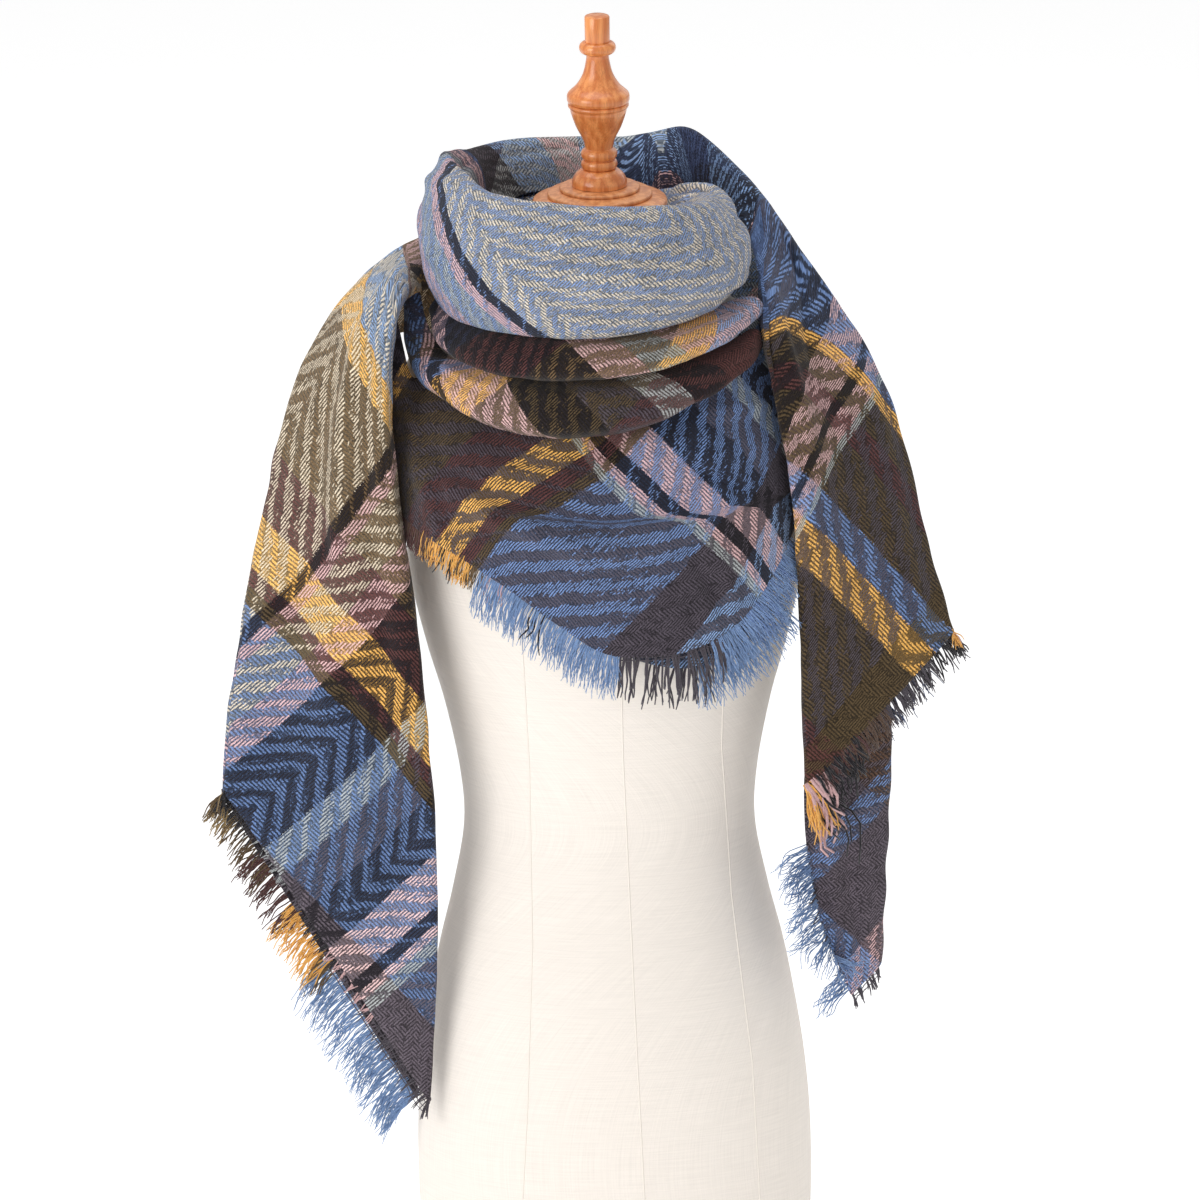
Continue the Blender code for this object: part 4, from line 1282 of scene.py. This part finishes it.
# Each light's place, size and power. They all face LIT_PLACE.
LIGHTS = {
    "key": ((-2.8, -2.6, 1.9), 2.4, 66.0),
    "fill": ((2.4, -2.0, 1.3), 2.0, 2.0),
    "top": ((-0.2, 0.3, 2.8), 1.8, 20.0),
    "back": ((1.4, 2.2, 1.8), 1.6, 5.0),
}
LIT_PLACE = Vector((0, 0, 0.55))
WORLD_POWER = 0.55
FLOOR_HALF = 6.0
FLOOR_LOOK = {
    "Base_Color": (0.93, 0.93, 0.93, 1),
    "Roughness": 0.9,
    "Emission_Color": (1, 1, 1, 1),
    "Emission_Strength": 0.4,
}


def set_camera():
    camera = bpy.data.objects.new("camera", bpy.data.cameras.new("camera"))
    bpy.context.scene.collection.objects.link(camera)
    away = Vector((0.0, -math.cos(VIEW_ELEVATION), math.sin(VIEW_ELEVATION)))
    turn = (-away).to_track_quat("-Z", "Y").to_matrix().to_4x4() @ Matrix.Rotation(-VIEW_ROLL, 4, "Z")
    camera.matrix_world = Matrix.Translation(VIEW_CENTRE + away * VIEW_DISTANCE) @ turn
    camera.data.lens = camera.data.sensor_width * VIEW_DISTANCE / FRAME_WIDTH
    camera.data.clip_end = VIEW_FAR
    bpy.context.scene.camera = camera


def set_stage():
    for name, (place, size, power) in LIGHTS.items():
        lamp = bpy.data.lights.new(name, "AREA")
        lamp.energy = power
        lamp.size = size
        made = bpy.data.objects.new(name, lamp)
        bpy.context.scene.collection.objects.link(made)
        made.location = place
        made.rotation_euler = (LIT_PLACE - Vector(place)).to_track_quat("-Z", "Y").to_euler()
    world = bpy.data.worlds.new("studio")
    world.use_nodes = True
    sky, power = world.node_tree.nodes["Background"].inputs[:2]
    sky.default_value = (1.0, 1.0, 1.0, 1.0)
    power.default_value = WORLD_POWER
    bpy.context.scene.world = world
    bpy.context.scene.view_settings.view_transform = "Standard"
    corners = np.array([(-1, -1, 0), (1, -1, 0), (1, 1, 0), (-1, 1, 0)]) * FLOOR_HALF
    look, _, _ = new_look("floor", **FLOOR_LOOK)
    mesh_object("floor", corners, [(0, 1, 2, 3)], [look])


# ---------------------------------------------------------------- all of it


def main():
    looks = {name: cloth_material("cloth_" + name, *row) for name, row in PLAID.items()}
    band = build_band(looks)
    pieces = {"band": band, **build_chest(looks)}
    fringes = build_fringes({name: sheet for name, (_, *sheet) in pieces.items()})
    build_form()
    set_camera()
    set_stage()


main()
